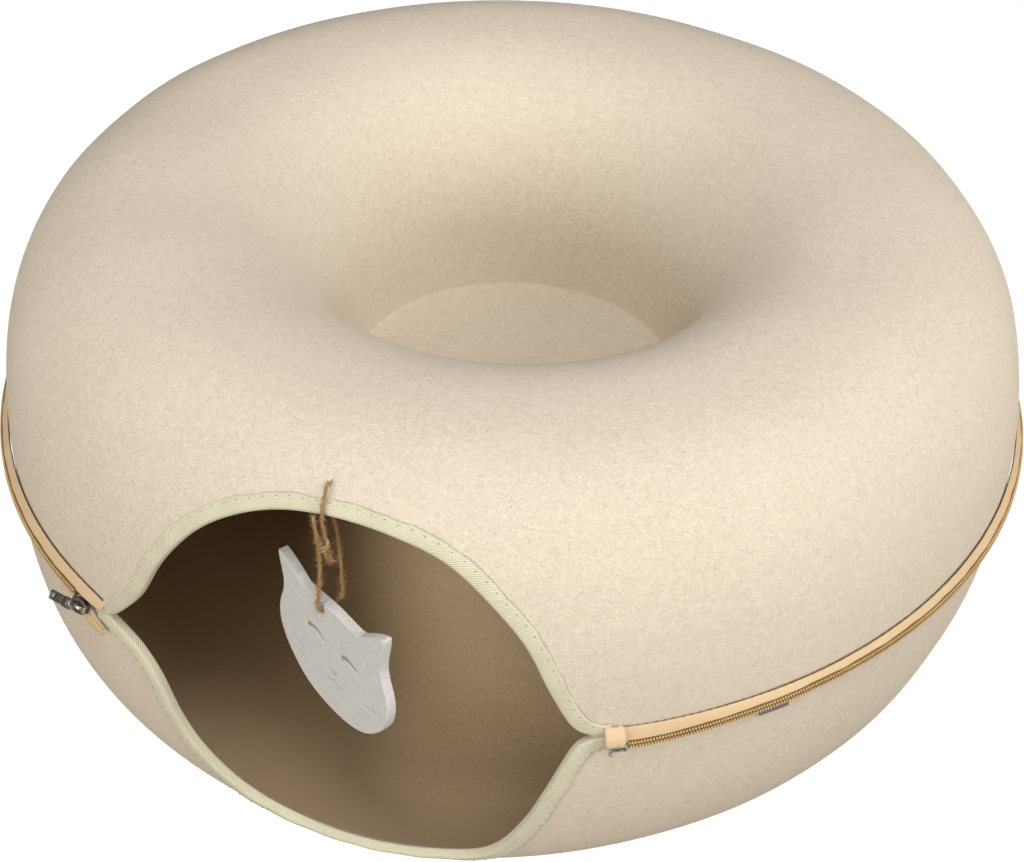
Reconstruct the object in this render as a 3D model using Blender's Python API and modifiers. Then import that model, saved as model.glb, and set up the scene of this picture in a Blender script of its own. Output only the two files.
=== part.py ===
"""Felt cat cave: two moulded felt shells zipped together into a ring-shaped tunnel, with a bound
entrance and a felt cat-head pendant on jute twine.

Metres, +Z up. The cave rests on z = 0 and its entrance faces -Y. Shapes are worked out about the
ring's own upright axis and then hung from an empty that stands on that axis.
"""

from math import cos, pi, radians, sin

import bmesh
import bpy
import numpy as np
from mathutils import Matrix, Vector

# Ring
RADIUS = 0.300
HEIGHT = 0.2842
WIDEST = 0.1430  # height of the widest circle
CREST = 0.2003  # radius of the top circle, and of the circle that the ring rests on
OUTER_POWER = 2.495  # roundness of the outer wall: 2 is an ellipse, and more is squarer
AXIS_Y = -0.0100  # where the ring's axis stands, so that the cave's box is centred on the origin
STEPS = 64  # facets round the ring

# Centre well
WELL = 0.1021  # radius at its floor
WELL_FLOOR = 0.1440  # top of the upper shell's round floor
WELL_POWER = 2.433
WELL_FILLET = 0.004

# Felt
FELT = 0.0034
FLOOR_GAP = 0.0004  # between the two round floors
REST_DEPTH = 0.0008  # how far the underside is pressed flat where it rests

# Rims, as heights above the zip
ZIP_HEIGHT = 0.1471
UPPER_RIM = 0.0028
LOWER_RIM = -0.0030

# Entrance edge, left to right as (across, above the zip)
UPPER_EDGE = (
    (-0.1360, -0.0010), (-0.1310, 0.0036), (-0.1211, 0.0161), (-0.1099, 0.0316), (-0.0948, 0.0609),
    (-0.0715, 0.0885), (-0.0400, 0.1056), (-0.0050, 0.1110), (0.0323, 0.1077), (0.0633, 0.0968),
    (0.0948, 0.0678), (0.1108, 0.0355), (0.1208, 0.0132), (0.1265, 0.0062), (0.1305, 0.0042),
)
LOWER_EDGE = (
    (-0.1385, -0.0024), (-0.1300, -0.0046), (-0.1165, -0.0092), (-0.1028, -0.0245),
    (-0.0915, -0.0485), (-0.0750, -0.0735), (-0.0500, -0.0975), (-0.0150, -0.1100),
    (0.0250, -0.1134), (0.0600, -0.1100), (0.0800, -0.0980), (0.0980, -0.0670),
    (0.1127, -0.0285), (0.1213, -0.0068), (0.1265, 0.0006), (0.1305, 0.0028),
)

# Binding: twill tape folded over the cut edge
TAPE = 0.0010
TAPE_LEG = 0.0088
EDGE_GAP = 0.0005  # between the fold and the felt's cut edge
OUTER_GAP = 0.0005
INNER_GAP = 0.0010
MOUTH_CUT = {"depth": 0.120, "middle": -0.290}  # the bar that cuts the entrance, along Y
END_GAP = 0.0012  # how far the cut in the felt runs past the bindings' ends
BINDING_STEPS = 50
LEG_TURN = 0.012  # length of edge over which the legs' direction is evened out

# Unevenness of the soft ring
CREST_SHIFT = (-0.0009, -0.0046)
BASE_BULGE = (-0.0077, -0.0026)
RIM_WAVE = 0.0035
RIM_WAVE_TURN = radians(33.9)

# Zip, as azimuths in degrees from -Y towards +X
ZIP_START = 29.25
ZIP_END = 328.36
GUARD_START = 28.75
GUARD_END = 331.70
GUARD_FOLD = (27.15, 28.68)  # the flap's folded end
STOP = (27.35, 29.18)
LABEL = (42.9, 46.2)

# Sections of the sewn bands, as (outwards from the felt's widest circle, above the zip) in metres
GUARD_SECTION = (
    (0.0004, 0.0104), (0.0014, 0.0104), (0.0056, 0.0064), (0.0060, 0.0053),
    (0.0054, 0.0048), (0.0040, 0.0055), (0.0004, 0.0083),
)
GUARD_END_SECTION = (
    (0.0005, 0.0108), (0.0018, 0.0108), (0.0064, 0.0070), (0.0070, 0.0022),
    (0.0061, 0.0016), (0.0051, 0.0021), (0.0046, 0.0058), (0.0005, 0.0086),
)
COIL_SECTION = (
    (0.0033, 0.0042), (0.0047, 0.0043), (0.0059, 0.0037), (0.0061, 0.0022),
    (0.0053, 0.0014), (0.0033, 0.0014),
)
TAPE_SECTION = (
    (-0.0043, 0.0120), (-0.0043, 0.0010), (0.0045, 0.0010), (0.0045, -0.0002),
    (-0.0043, -0.0002), (-0.0043, -0.0120), (-0.0053, -0.0120), (-0.0053, 0.0120),
)
STOP_SECTION = (
    (0.0006, 0.0008), (0.0060, 0.0010), (0.0068, 0.0004), (0.0068, -0.0034),
    (0.0060, -0.0042), (0.0006, -0.0042),
)
LABEL_SECTION = (
    (0.0006, -0.0006), (0.0018, -0.0006), (0.0022, -0.0050), (0.0010, -0.0050),
)

# Slider and puller
SLIDER = {
    "azimuth": -30.6, "out": 0.3066, "above": -0.0010, "size": (0.0105, 0.0075, 0.0084),
    "bevel": 0.0012, "crown": (0.0062, 0.0030, 0.0026), "crown_bevel": 0.0008, "crown_out": 0.00435,
}
PULLER = {"length": 0.0190, "wide": 0.0064, "narrow": 0.0050, "thick": 0.0012, "eye": 0.0015}
PULLER_PLACE = {"azimuth": -33.1, "out": 0.3125, "above": -0.0052, "droop": 25.0, "lean": 7.0}
TAIL = {
    "top": (-30.15, -0.0112), "foot": (-28.35, -0.0232), "width": 0.0044, "thick": 0.0011,
    "out": -0.0002,
}

# Pendant, in its own plane: across, then up from the middle of its top edge
PENDANT_PLACE = (-0.0016, -0.2788, 0.2014)
PENDANT_TURN = -31.9
PENDANT_THICK = 0.0055
PENDANT_HOLE = (-0.0070, -0.0035)
PENDANT_HOLE_RADIUS = 0.0019
EAR_TIP = (0.0435, 0.0100)
EAR_INSIDE = (0.0235, 0.0012)
TOP_MIDDLE = (0.0, 0.0020)
WAIST = (0.0410, -0.0100)
CHEEK = (0.0462, -0.0330)
JAW = (0.0320, -0.0600)
CHIN = (0.0, -0.0710)

# Twine
TWINE_RADIUS = 0.0010
TWINE_STEP = 0.0050
TWINE_HOLE = (-0.0079, 0.1213)  # across, and above the zip
TWINE_HOLE_RADIUS = 0.0015
TWINE_ROUTE = (
    (-0.0114, -0.2778, 0.2596),
    (-0.0099, -0.2783, 0.2500),
    (-0.0084, -0.2787, 0.2417),
    (-0.0082, -0.2795, 0.2280),
    (-0.0089, -0.2803, 0.2120),
    (-0.0100, -0.2802, 0.2020),
    (-0.0092, -0.2782, 0.1982),
    (-0.0075, -0.2751, 0.1979),
    (-0.0051, -0.2711, 0.1984),
    (-0.0022, -0.2693, 0.2018),
    (-0.0012, -0.2690, 0.2075),
    (-0.0026, -0.2672, 0.2280),
    (-0.0048, -0.2656, 0.2450),
    (-0.0068, -0.2650, 0.2530),
    (-0.0080, -0.2624, 0.2568),
    (-0.0085, -0.2589, 0.2598),
    (-0.0085, -0.2579, 0.2620),
    (-0.0086, -0.2592, 0.2643),
    (-0.0087, -0.2622, 0.2682),
    (-0.0088, -0.2640, 0.2698),
    (-0.0087, -0.2664, 0.2691),
    (-0.0085, -0.2694, 0.2660),
    (-0.0082, -0.2730, 0.2629),
    (-0.0077, -0.2754, 0.2572),
    (-0.0066, -0.2756, 0.2480),
    (-0.0058, -0.2757, 0.2410),
    (-0.0036, -0.2768, 0.2335),
)


def clear_scene():
    for obj in list(bpy.data.objects):
        bpy.data.objects.remove(obj, do_unlink=True)


def make_material(name, color, roughness, metallic=0.0):
    material = bpy.data.materials.new(name)
    material.use_nodes = True
    shader = material.node_tree.nodes["Principled BSDF"]
    shader.inputs["Base Color"].default_value = (*color, 1.0)
    shader.inputs["Roughness"].default_value = roughness
    shader.inputs["Metallic"].default_value = metallic
    return material


def add_object(name, data, collection, material, parent):
    obj = bpy.data.objects.new(name, data)
    collection.objects.link(obj)
    if material is not None:
        data.materials.append(material)
    obj.parent = parent
    return obj


def add_cutter(name, data, collection):
    cutter = add_object(name, data, collection, None, None)
    cutter.hide_render = True
    cutter.display_type = "WIRE"
    return cutter


# ---- The felt's surface ----


def outer_radius(z):
    """Radius of the felt's outside at a height: a superellipse round the crest circle."""
    reach = np.where(z > WIDEST, HEIGHT - WIDEST, WIDEST)
    rise = np.clip(np.abs(z - WIDEST) / reach, 0.0, 1.0)
    return CREST + (RADIUS - CREST) * (1.0 - rise**OUTER_POWER) ** (1.0 / OUTER_POWER)


def surface_point(across, above, out=0.0):
    """Point of the front of the ring at (across, above the zip), moved out along the normal."""
    z = ZIP_HEIGHT + np.asarray(above, float)
    across = np.asarray(across, float)
    radius = outer_radius(z)
    point = np.stack([across, -np.sqrt(radius**2 - across**2), z], axis=-1)
    reach = np.where(z > WIDEST, HEIGHT - WIDEST, WIDEST)
    inward = (radius - CREST) / (RADIUS - CREST)
    slope_out = inward ** (OUTER_POWER - 1.0) / (RADIUS - CREST)
    slope_up = np.sign(z - WIDEST) * (np.abs(z - WIDEST) / reach) ** (OUTER_POWER - 1.0) / reach
    normal = np.stack(
        [slope_out * point[..., 0] / radius, slope_out * point[..., 1] / radius, slope_up], axis=-1
    )
    normal /= np.linalg.norm(normal, axis=-1, keepdims=True)
    return point + normal * np.asarray(out, float)[..., None]


def settle(points):
    """The soft ring's unevenness: its top leans forward, its base bulges, and its rim waves."""
    points = np.array(points, float)
    x, y, z = points[:, 0], points[:, 1], points[:, 2]
    azimuth = np.arctan2(x, -y)
    radius = np.hypot(x, y)
    above = np.clip((z - WIDEST) / (HEIGHT - WIDEST), 0.0, 1.0)
    below = np.clip(1.0 - z / WIDEST, 0.0, 1.0)
    outside = np.clip((radius - WELL) / (RADIUS - WELL), 0.0, 1.0)
    wave = RIM_WAVE * np.sin(2.0 * (azimuth - RIM_WAVE_TURN))
    bulge = BASE_BULGE[0] * np.sin(azimuth) - BASE_BULGE[1] * np.cos(azimuth)
    bulge = bulge * below * np.clip((radius - 0.15) / 0.05, 0.0, 1.0)
    moved = points.copy()
    moved[:, 0] += CREST_SHIFT[0] * above + bulge * np.sin(azimuth)
    moved[:, 1] += CREST_SHIFT[1] * above - bulge * np.cos(azimuth)
    moved[:, 2] += wave * outside * (1.0 - np.maximum(above, below))
    return moved


# ---- The entrance's outline ----


def smooth_curve(points, share_count=12):
    """Close points of a smooth curve through the given ones (Catmull-Rom)."""
    points = np.array(points)
    padded = np.vstack([2 * points[0] - points[1], points, 2 * points[-1] - points[-2]])
    share = np.linspace(0.0, 1.0, share_count, endpoint=False)[:, None]
    pieces = []
    for k in range(len(points) - 1):
        before, start, end, after = padded[k:k + 4]
        pieces.append(0.5 * (
            2 * start
            + (end - before) * share
            + (2 * before - 5 * start + 4 * end - after) * share**2
            + (3 * start - before - 3 * end + after) * share**3
        ))
    return np.vstack([*pieces, points[-1:]])


def travelled(curve):
    steps = np.linalg.norm(np.diff(curve, axis=0), axis=1)
    return np.concatenate([[0.0], np.cumsum(steps)])


def along(curve, places):
    """Points of a curve at the given distances from its start."""
    length = travelled(curve)
    columns = [np.interp(places, length, curve[:, k]) for k in range(curve.shape[1])]
    return np.stack(columns, axis=-1)


def edge_stations(edge, count):
    """Even places along the entrance's edge, each with its direction away from the opening."""
    curve = smooth_curve(edge)
    full = travelled(curve)[-1]
    places = np.linspace(0.0, full, count)
    ahead = along(curve, np.minimum(places + LEG_TURN, full))
    behind = along(curve, np.maximum(places - LEG_TURN, 0.0))
    run = ahead - behind
    run /= np.linalg.norm(run, axis=-1, keepdims=True)
    side = 1.0 if edge is UPPER_EDGE else -1.0
    outward = side * np.stack([-run[:, 1], run[:, 0]], axis=-1)
    return along(curve, places), outward


# ---- Ways of making meshes ----


def mesh_from(name, vertices, faces):
    mesh = bpy.data.meshes.new(name)
    mesh.from_pydata([tuple(v) for v in vertices], [], faces)
    mesh.update()
    return mesh


def lofted(name, sections):
    """A closed body through sections that all have the same number of points."""
    sections = np.asarray(sections, float)
    count, corners = sections.shape[:2]
    faces = [tuple(reversed(range(corners)))]
    for step in range(count - 1):
        for corner in range(corners):
            following = (corner + 1) % corners
            faces.append((
                step * corners + corner,
                step * corners + following,
                (step + 1) * corners + following,
                (step + 1) * corners + corner,
            ))
    last = (count - 1) * corners
    faces.append(tuple(last + corner for corner in range(corners)))
    mesh = mesh_from(name, sections.reshape(-1, 3), faces)
    outward_faces(mesh)
    return mesh


def outward_faces(mesh):
    work = bmesh.new()
    work.from_mesh(mesh)
    bmesh.ops.recalc_face_normals(work, faces=work.faces)
    work.to_mesh(mesh)
    work.free()


def settle_mesh(mesh):
    points = np.empty(len(mesh.vertices) * 3)
    mesh.vertices.foreach_get("co", points)
    mesh.vertices.foreach_set("co", settle(points.reshape(-1, 3)).ravel())
    mesh.update()


def evaluated_mesh(obj):
    """The object's mesh with its modifiers made real. The object itself is removed."""
    bpy.context.view_layer.update()
    graph = bpy.context.evaluated_depsgraph_get()
    mesh = bpy.data.meshes.new_from_object(obj.evaluated_get(graph), depsgraph=graph)
    mesh.transform(obj.matrix_world)
    mesh.name = obj.name
    bpy.data.objects.remove(obj, do_unlink=True)
    return mesh


def welded_mesh(obj, distance=1e-5):
    mesh = evaluated_mesh(obj)
    work = bmesh.new()
    work.from_mesh(mesh)
    bmesh.ops.remove_doubles(work, verts=work.verts, dist=distance)
    bmesh.ops.recalc_face_normals(work, faces=work.faces)
    work.to_mesh(mesh)
    work.free()
    return mesh


def band_azimuths(start, end):
    """The ring's own facet lines between two azimuths, with the two ends."""
    facet = 360.0 / STEPS
    inner = [facet * k for k in range(3 * STEPS) if start + 0.3 < facet * k < end - 0.3]
    return np.radians(np.array([start, *inner, end]))


def sewn_band(name, section, start, end):
    """A band of one section carried round the rim between two azimuths."""
    section = np.array(section)
    radius = RADIUS + section[:, 0]
    sections = []
    for azimuth in band_azimuths(start, end):
        sections.append(np.stack([
            radius * sin(azimuth),
            -radius * cos(azimuth),
            ZIP_HEIGHT + section[:, 1],
        ], axis=-1))
    mesh = lofted(name, sections)
    settle_mesh(mesh)
    return mesh


# ---- Felt shells ----


def outer_profile(angles, top):
    """Points of the outer wall between its crest and its widest circle, (radius, height)."""
    reach = HEIGHT - WIDEST if top else WIDEST + REST_DEPTH
    power = 2.0 / OUTER_POWER
    side = 1.0 if top else -1.0
    return [
        (CREST + (RADIUS - CREST) * sin(a) ** power, WIDEST + side * reach * cos(a) ** power)
        for a in angles
    ]


def well_profile(angles, floor, crest_height):
    """Points of the well's wall from its floor to the crest, (radius, height)."""
    power = 2.0 / WELL_POWER
    return [
        (
            CREST - (CREST - WELL) * cos(a) ** power,
            floor + (crest_height - floor) * sin(a) ** power,
        )
        for a in angles
    ]


def fillet_profile(floor, side):
    """The rounded corner between the well's floor and its wall."""
    bend = WELL_FILLET * (1.0 - cos(pi / 4.0))
    return [
        (WELL - WELL_FILLET, floor),
        (WELL - bend, floor + side * bend),
    ]


def upper_profile():
    floor = WELL_FLOOR
    well = well_profile(np.radians([6.0, 20.0, 38.0, 57.0, 76.0]), floor, HEIGHT)
    wall = outer_profile(np.radians([0.0, 9.0, 20.0, 31.0, 42.0, 53.0, 64.0, 75.0]), True)
    rim = ZIP_HEIGHT + UPPER_RIM
    end = [(float(outer_radius(0.172)), 0.172), (float(outer_radius(rim)), rim)]
    return [(0.0, floor), *fillet_profile(floor, 1.0), *well, *wall, *end]


def lower_profile():
    floor = WELL_FLOOR - 2.0 * FELT - FLOOR_GAP
    rim = ZIP_HEIGHT + LOWER_RIM
    wall = outer_profile(np.radians([78.0, 67.0, 57.0, 48.0, 40.0, 33.0, 26.0, 19.0]), False)
    well = well_profile(np.radians([62.0, 40.0, 21.0, 7.0]), floor, -REST_DEPTH)
    # Pressed flat where the underside would lie below the floor.
    flat_outer = CREST + (RADIUS - CREST) * (
        1.0 - (WIDEST / (WIDEST + REST_DEPTH)) ** OUTER_POWER
    ) ** (1.0 / OUTER_POWER)
    flat_inner = CREST - (CREST - WELL) * (
        1.0 - (floor / (floor + REST_DEPTH)) ** WELL_POWER
    ) ** (1.0 / WELL_POWER)
    start = [(float(outer_radius(rim)), rim)]
    middle = [(flat_outer, 0.0), (flat_inner, 0.0)]
    corner = list(reversed(fillet_profile(floor, -1.0)))
    return [*start, *wall, *middle, *well, *corner, (0.0, floor)]


def turned_shell(name, profile, collection):
    """A thin wall turned round the axis. The profile's outside is its left side as it runs."""
    mesh = bpy.data.meshes.new(name)
    points = [(radius, 0.0, height) for radius, height in profile]
    edges = [(k, k + 1) for k in range(len(points) - 1)]
    mesh.from_pydata(points, edges, [])
    shell = add_object(name, mesh, collection, None, None)
    screw = shell.modifiers.new("Turn", "SCREW")
    screw.axis = "Z"
    screw.steps = STEPS
    screw.render_steps = STEPS
    screw.use_merge_vertices = True
    screw.merge_threshold = 0.0001
    wall = shell.modifiers.new("Felt", "SOLIDIFY")
    wall.thickness = FELT
    wall.offset = -1.0
    wall.use_even_offset = True
    return shell


def mouth_cutter(collection):
    """The eye-shaped hole in the felt, as one bar along Y."""
    loop = []
    for edge in (UPPER_EDGE, LOWER_EDGE):
        points, outward = edge_stations(edge, 47)
        points = points + (TAPE + EDGE_GAP) * outward
        points[0] += END_GAP * (points[0] - points[1]) / np.linalg.norm(points[0] - points[1])
        points[-1] += END_GAP * (points[-1] - points[-2]) / np.linalg.norm(points[-1] - points[-2])
        points[:, 1] += ZIP_HEIGHT
        loop.extend(points if edge is UPPER_EDGE else points[::-1])
    curve = bpy.data.curves.new("mouth_cutter", "CURVE")
    curve.dimensions = "2D"
    curve.fill_mode = "BOTH"
    curve.extrude = MOUTH_CUT["depth"] / 2.0
    spline = curve.splines.new("POLY")
    spline.points.add(len(loop) - 1)
    for point, (x, z) in zip(spline.points, loop):
        point.co = (x, z, 0.0, 1.0)
    spline.use_cyclic_u = True
    outline = add_object("mouth_outline", curve, collection, None, None)
    outline.rotation_euler = (pi / 2.0, 0.0, 0.0)
    outline.location = (0.0, MOUTH_CUT["middle"], 0.0)
    return add_cutter("mouth_cutter", welded_mesh(outline), collection)


def twine_cutter(collection):
    """The hole for the twine, square to the felt."""
    outside = Vector(surface_point(*TWINE_HOLE, out=0.006))
    inside = Vector(surface_point(*TWINE_HOLE, out=-0.010))
    work = bmesh.new()
    bmesh.ops.create_cone(
        work,
        cap_ends=True,
        segments=12,
        radius1=TWINE_HOLE_RADIUS,
        radius2=TWINE_HOLE_RADIUS,
        depth=(outside - inside).length,
    )
    turn = (outside - inside).to_track_quat("Z", "Y").to_matrix().to_4x4()
    work.transform(Matrix.Translation((outside + inside) / 2.0) @ turn)
    mesh = bpy.data.meshes.new("twine_cutter")
    work.to_mesh(mesh)
    work.free()
    return add_cutter("twine_cutter", mesh, collection)


def cut(obj, cutter):
    boolean = obj.modifiers.new(cutter.name, "BOOLEAN")
    boolean.operation = "DIFFERENCE"
    boolean.solver = "EXACT"
    boolean.object = cutter


def felt_shell(name, profile, cutters, collection, material, parent):
    shell = turned_shell(name, profile, collection)
    for cutter in cutters:
        cut(shell, cutter)
    mesh = evaluated_mesh(shell)
    settle_mesh(mesh)
    mesh.shade_smooth()
    mesh.set_sharp_from_angle(angle=radians(40.0))
    return add_object(name, mesh, collection, material, parent)


# ---- Bindings ----


def binding_section():
    """The folded tape's section: (into the felt from the fold, out from the felt's face)."""
    out = OUTER_GAP + TAPE
    deep = -FELT - INNER_GAP - TAPE
    return (
        (TAPE_LEG, out), (TAPE_LEG / 2.0, out), (0.0020, out), (0.0006, out - 0.0005),
        (0.0, out - 0.0018), (0.0, deep + 0.0018), (0.0006, deep + 0.0005), (0.0020, deep),
        (TAPE_LEG, deep), (TAPE_LEG, deep + TAPE), (TAPE, deep + TAPE), (TAPE, OUTER_GAP),
        (TAPE_LEG / 2.0, OUTER_GAP), (TAPE_LEG, OUTER_GAP),
    )


def leg_reach(point, outward, distances):
    """Seen-from-the-front distances that cover the given lengths along the felt's surface."""
    seen = np.linspace(0.0, 0.0130, 53)
    points = surface_point(point[0] + seen * outward[0], point[1] + seen * outward[1])
    return np.interp(distances, travelled(points), seen)


def binding(name, edge, collection, material, parent):
    section = np.array(binding_section())
    sections = []
    for point, outward in zip(*edge_stations(edge, BINDING_STEPS)):
        seen = leg_reach(point, outward, section[:, 0])
        across = point[0] + seen * outward[0]
        above = point[1] + seen * outward[1]
        sections.append(surface_point(across, above, section[:, 1]))
    mesh = lofted(name, sections)
    settle_mesh(mesh)
    return add_object(name, mesh, collection, material, parent)


# ---- Zip fittings ----


def rim_frame(azimuth, out, above):
    """Placement at the rim: X along it, Y outwards, Z up."""
    a = radians(azimuth)
    place = settle([[out * sin(a), -out * cos(a), ZIP_HEIGHT + above]])[0]
    return Matrix.Translation(Vector(place)) @ Matrix.Rotation(a + pi, 4, "Z")


def beveled_block(name, size, bevel):
    work = bmesh.new()
    bmesh.ops.create_cube(work, size=1.0)
    bmesh.ops.scale(work, vec=size, verts=work.verts)
    bmesh.ops.bevel(work, geom=work.edges, offset=bevel, segments=2, affect="EDGES", profile=0.5)
    mesh = bpy.data.meshes.new(name)
    work.to_mesh(mesh)
    work.free()
    return mesh


def zip_slider(collection, helpers, material, parent):
    """The slider's body, with the crown that its puller hangs from."""
    block = beveled_block("slider", SLIDER["size"], SLIDER["bevel"])
    body = add_object("slider_body", block, collection, None, None)
    crown = beveled_block("crown", SLIDER["crown"], SLIDER["crown_bevel"])
    crown.transform(Matrix.Translation((0.0, SLIDER["crown_out"], 0.0)))
    joined = body.modifiers.new("Crown", "BOOLEAN")
    joined.operation = "UNION"
    joined.solver = "EXACT"
    joined.object = add_cutter("crown", crown, helpers)
    mesh = evaluated_mesh(body)
    mesh.transform(rim_frame(SLIDER["azimuth"], SLIDER["out"], SLIDER["above"]))
    return add_object("zip_slider", mesh, collection, material, parent)


def flat_curve(name, thickness):
    curve = bpy.data.curves.new(name, "CURVE")
    curve.dimensions = "2D"
    curve.fill_mode = "BOTH"
    curve.extrude = thickness / 2.0
    curve.resolution_u = 6
    return curve


def add_circle(curve, x, y, radius, count=14):
    spline = curve.splines.new("POLY")
    spline.points.add(count - 1)
    for k, point in enumerate(spline.points):
        turn = 2.0 * pi * k / count
        point.co = (x + radius * cos(turn), y + radius * sin(turn), 0.0, 1.0)
    spline.use_cyclic_u = True


def add_outline(curve, points):
    spline = curve.splines.new("POLY")
    spline.points.add(len(points) - 1)
    for point, (x, y) in zip(spline.points, points):
        point.co = (x, y, 0.0, 1.0)
    spline.use_cyclic_u = True


def zip_puller(collection, material, parent):
    """A tapered plate with an eye, which hangs outwards beside the rim."""
    length, wide, narrow = PULLER["length"], PULLER["wide"], PULLER["narrow"]
    curve = flat_curve("zip_puller", PULLER["thick"])
    base_x = wide / 2.0 - length / 2.0
    tip_x = length / 2.0
    corner = 0.0012
    outline = [
        (base_x - wide / 2.0 * sin(radians(t)), wide / 2.0 * cos(radians(t)))
        for t in range(0, 181, 20)
    ]
    outline += [(tip_x - corner, -narrow / 2.0), (tip_x, corner - narrow / 2.0)]
    outline += [(tip_x, narrow / 2.0 - corner), (tip_x - corner, narrow / 2.0)]
    add_outline(curve, outline)
    add_circle(curve, base_x, 0.0, PULLER["eye"], 10)
    plate = add_object("puller_plate", curve, collection, None, None)
    mesh = welded_mesh(plate)
    place = rim_frame(PULLER_PLACE["azimuth"], PULLER_PLACE["out"], PULLER_PLACE["above"])
    droop = Matrix.Rotation(radians(PULLER_PLACE["droop"]), 4, "Y")
    lean = Matrix.Rotation(radians(PULLER_PLACE["lean"]), 4, "Z")
    mesh.transform(place @ droop @ lean @ Matrix.Rotation(pi / 2.0, 4, "X"))
    return add_object("zip_puller", mesh, collection, material, parent)


def zip_tail(collection, material, parent):
    """The zip's free end, a short ribbon that lies on the felt under the slider."""
    sections = []
    for share in np.linspace(0.0, 1.0, 6):
        azimuth = radians(TAIL["top"][0] + share * (TAIL["foot"][0] - TAIL["top"][0]))
        above = TAIL["top"][1] + share * (TAIL["foot"][1] - TAIL["top"][1])
        run = Vector((
            RADIUS * radians(TAIL["foot"][0] - TAIL["top"][0]),
            TAIL["foot"][1] - TAIL["top"][1],
        )).normalized()
        side = Vector((-run.y, run.x)) * TAIL["width"] / 2.0
        across = RADIUS * sin(azimuth)
        near, far = TAIL["out"], TAIL["out"] + TAIL["thick"]
        corners = [(-1, near), (1, near), (1, far), (-1, far)]
        sections.append([
            surface_point(across + k * side.x * cos(azimuth), above + k * side.y, out)
            for k, out in corners
        ])
    mesh = lofted("zip_tail", sections)
    settle_mesh(mesh)
    return add_object("zip_tail", mesh, collection, material, parent)


# ---- Pendant and twine ----


def cubic(start, out_handle, in_handle, end, count):
    """Points of one Bezier stretch, without its last."""
    share = np.linspace(0.0, 1.0, count, endpoint=False)[:, None]
    start, out_handle, in_handle, end = map(np.array, (start, out_handle, in_handle, end))
    return (
        (1 - share) ** 3 * start
        + 3 * (1 - share) ** 2 * share * out_handle
        + 3 * (1 - share) * share**2 * in_handle
        + share**3 * end
    )


def cat_head_outline():
    """One half from the chin up to the middle of the top edge, then its mirror image."""
    ear_round = 0.0016
    half = np.concatenate([
        cubic(CHIN, (0.0150, -0.0710), (0.0250, -0.0665), JAW, 6),
        cubic(JAW, (0.0410, -0.0520), (0.0462, -0.0430), CHEEK, 5),
        cubic(CHEEK, (0.0462, -0.0220), (0.0418, -0.0190), WAIST, 4),
        cubic(WAIST, (0.0404, -0.0030), (0.0448, 0.0040), EAR_TIP, 4),
        cubic(EAR_TIP, (EAR_TIP[0] - ear_round, EAR_TIP[1] + ear_round),
              (0.0345, 0.0085), EAR_INSIDE, 5),
        cubic(EAR_INSIDE, (0.0170, 0.0006), (0.0080, 0.0020), TOP_MIDDLE, 3),
    ])
    mirrored = [(-x, y) for x, y in reversed(half[1:])]
    return [tuple(p) for p in half] + [TOP_MIDDLE] + mirrored


def pendant(collection, material, parent):
    curve = flat_curve("pendant", PENDANT_THICK)
    add_outline(curve, cat_head_outline())
    add_circle(curve, PENDANT_HOLE[0], PENDANT_HOLE[1], PENDANT_HOLE_RADIUS)
    plate = add_object("pendant_plate", curve, collection, None, None)
    mesh = welded_mesh(plate)
    turn = Matrix.Rotation(radians(PENDANT_TURN), 4, "Z") @ Matrix.Rotation(pi / 2.0, 4, "X")
    mesh.transform(Matrix.Translation(PENDANT_PLACE) @ turn)
    return add_object("pendant", mesh, collection, material, parent)


def even_route(points, step):
    """Even points of a smooth curve through the given ones."""
    curve = smooth_curve(points)
    full = travelled(curve)[-1]
    return along(curve, np.linspace(0.0, full, int(round(full / step)) + 1))


def twine(collection, material, parent):
    route = even_route(TWINE_ROUTE, TWINE_STEP)
    curve = bpy.data.curves.new("twine", "CURVE")
    curve.dimensions = "3D"
    curve.bevel_depth = TWINE_RADIUS
    curve.bevel_resolution = 2
    curve.use_fill_caps = True
    spline = curve.splines.new("POLY")
    spline.points.add(len(route) - 1)
    for point, place in zip(spline.points, route):
        point.co = (*place, 1.0)
    return add_object("twine", curve, collection, material, parent)


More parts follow.
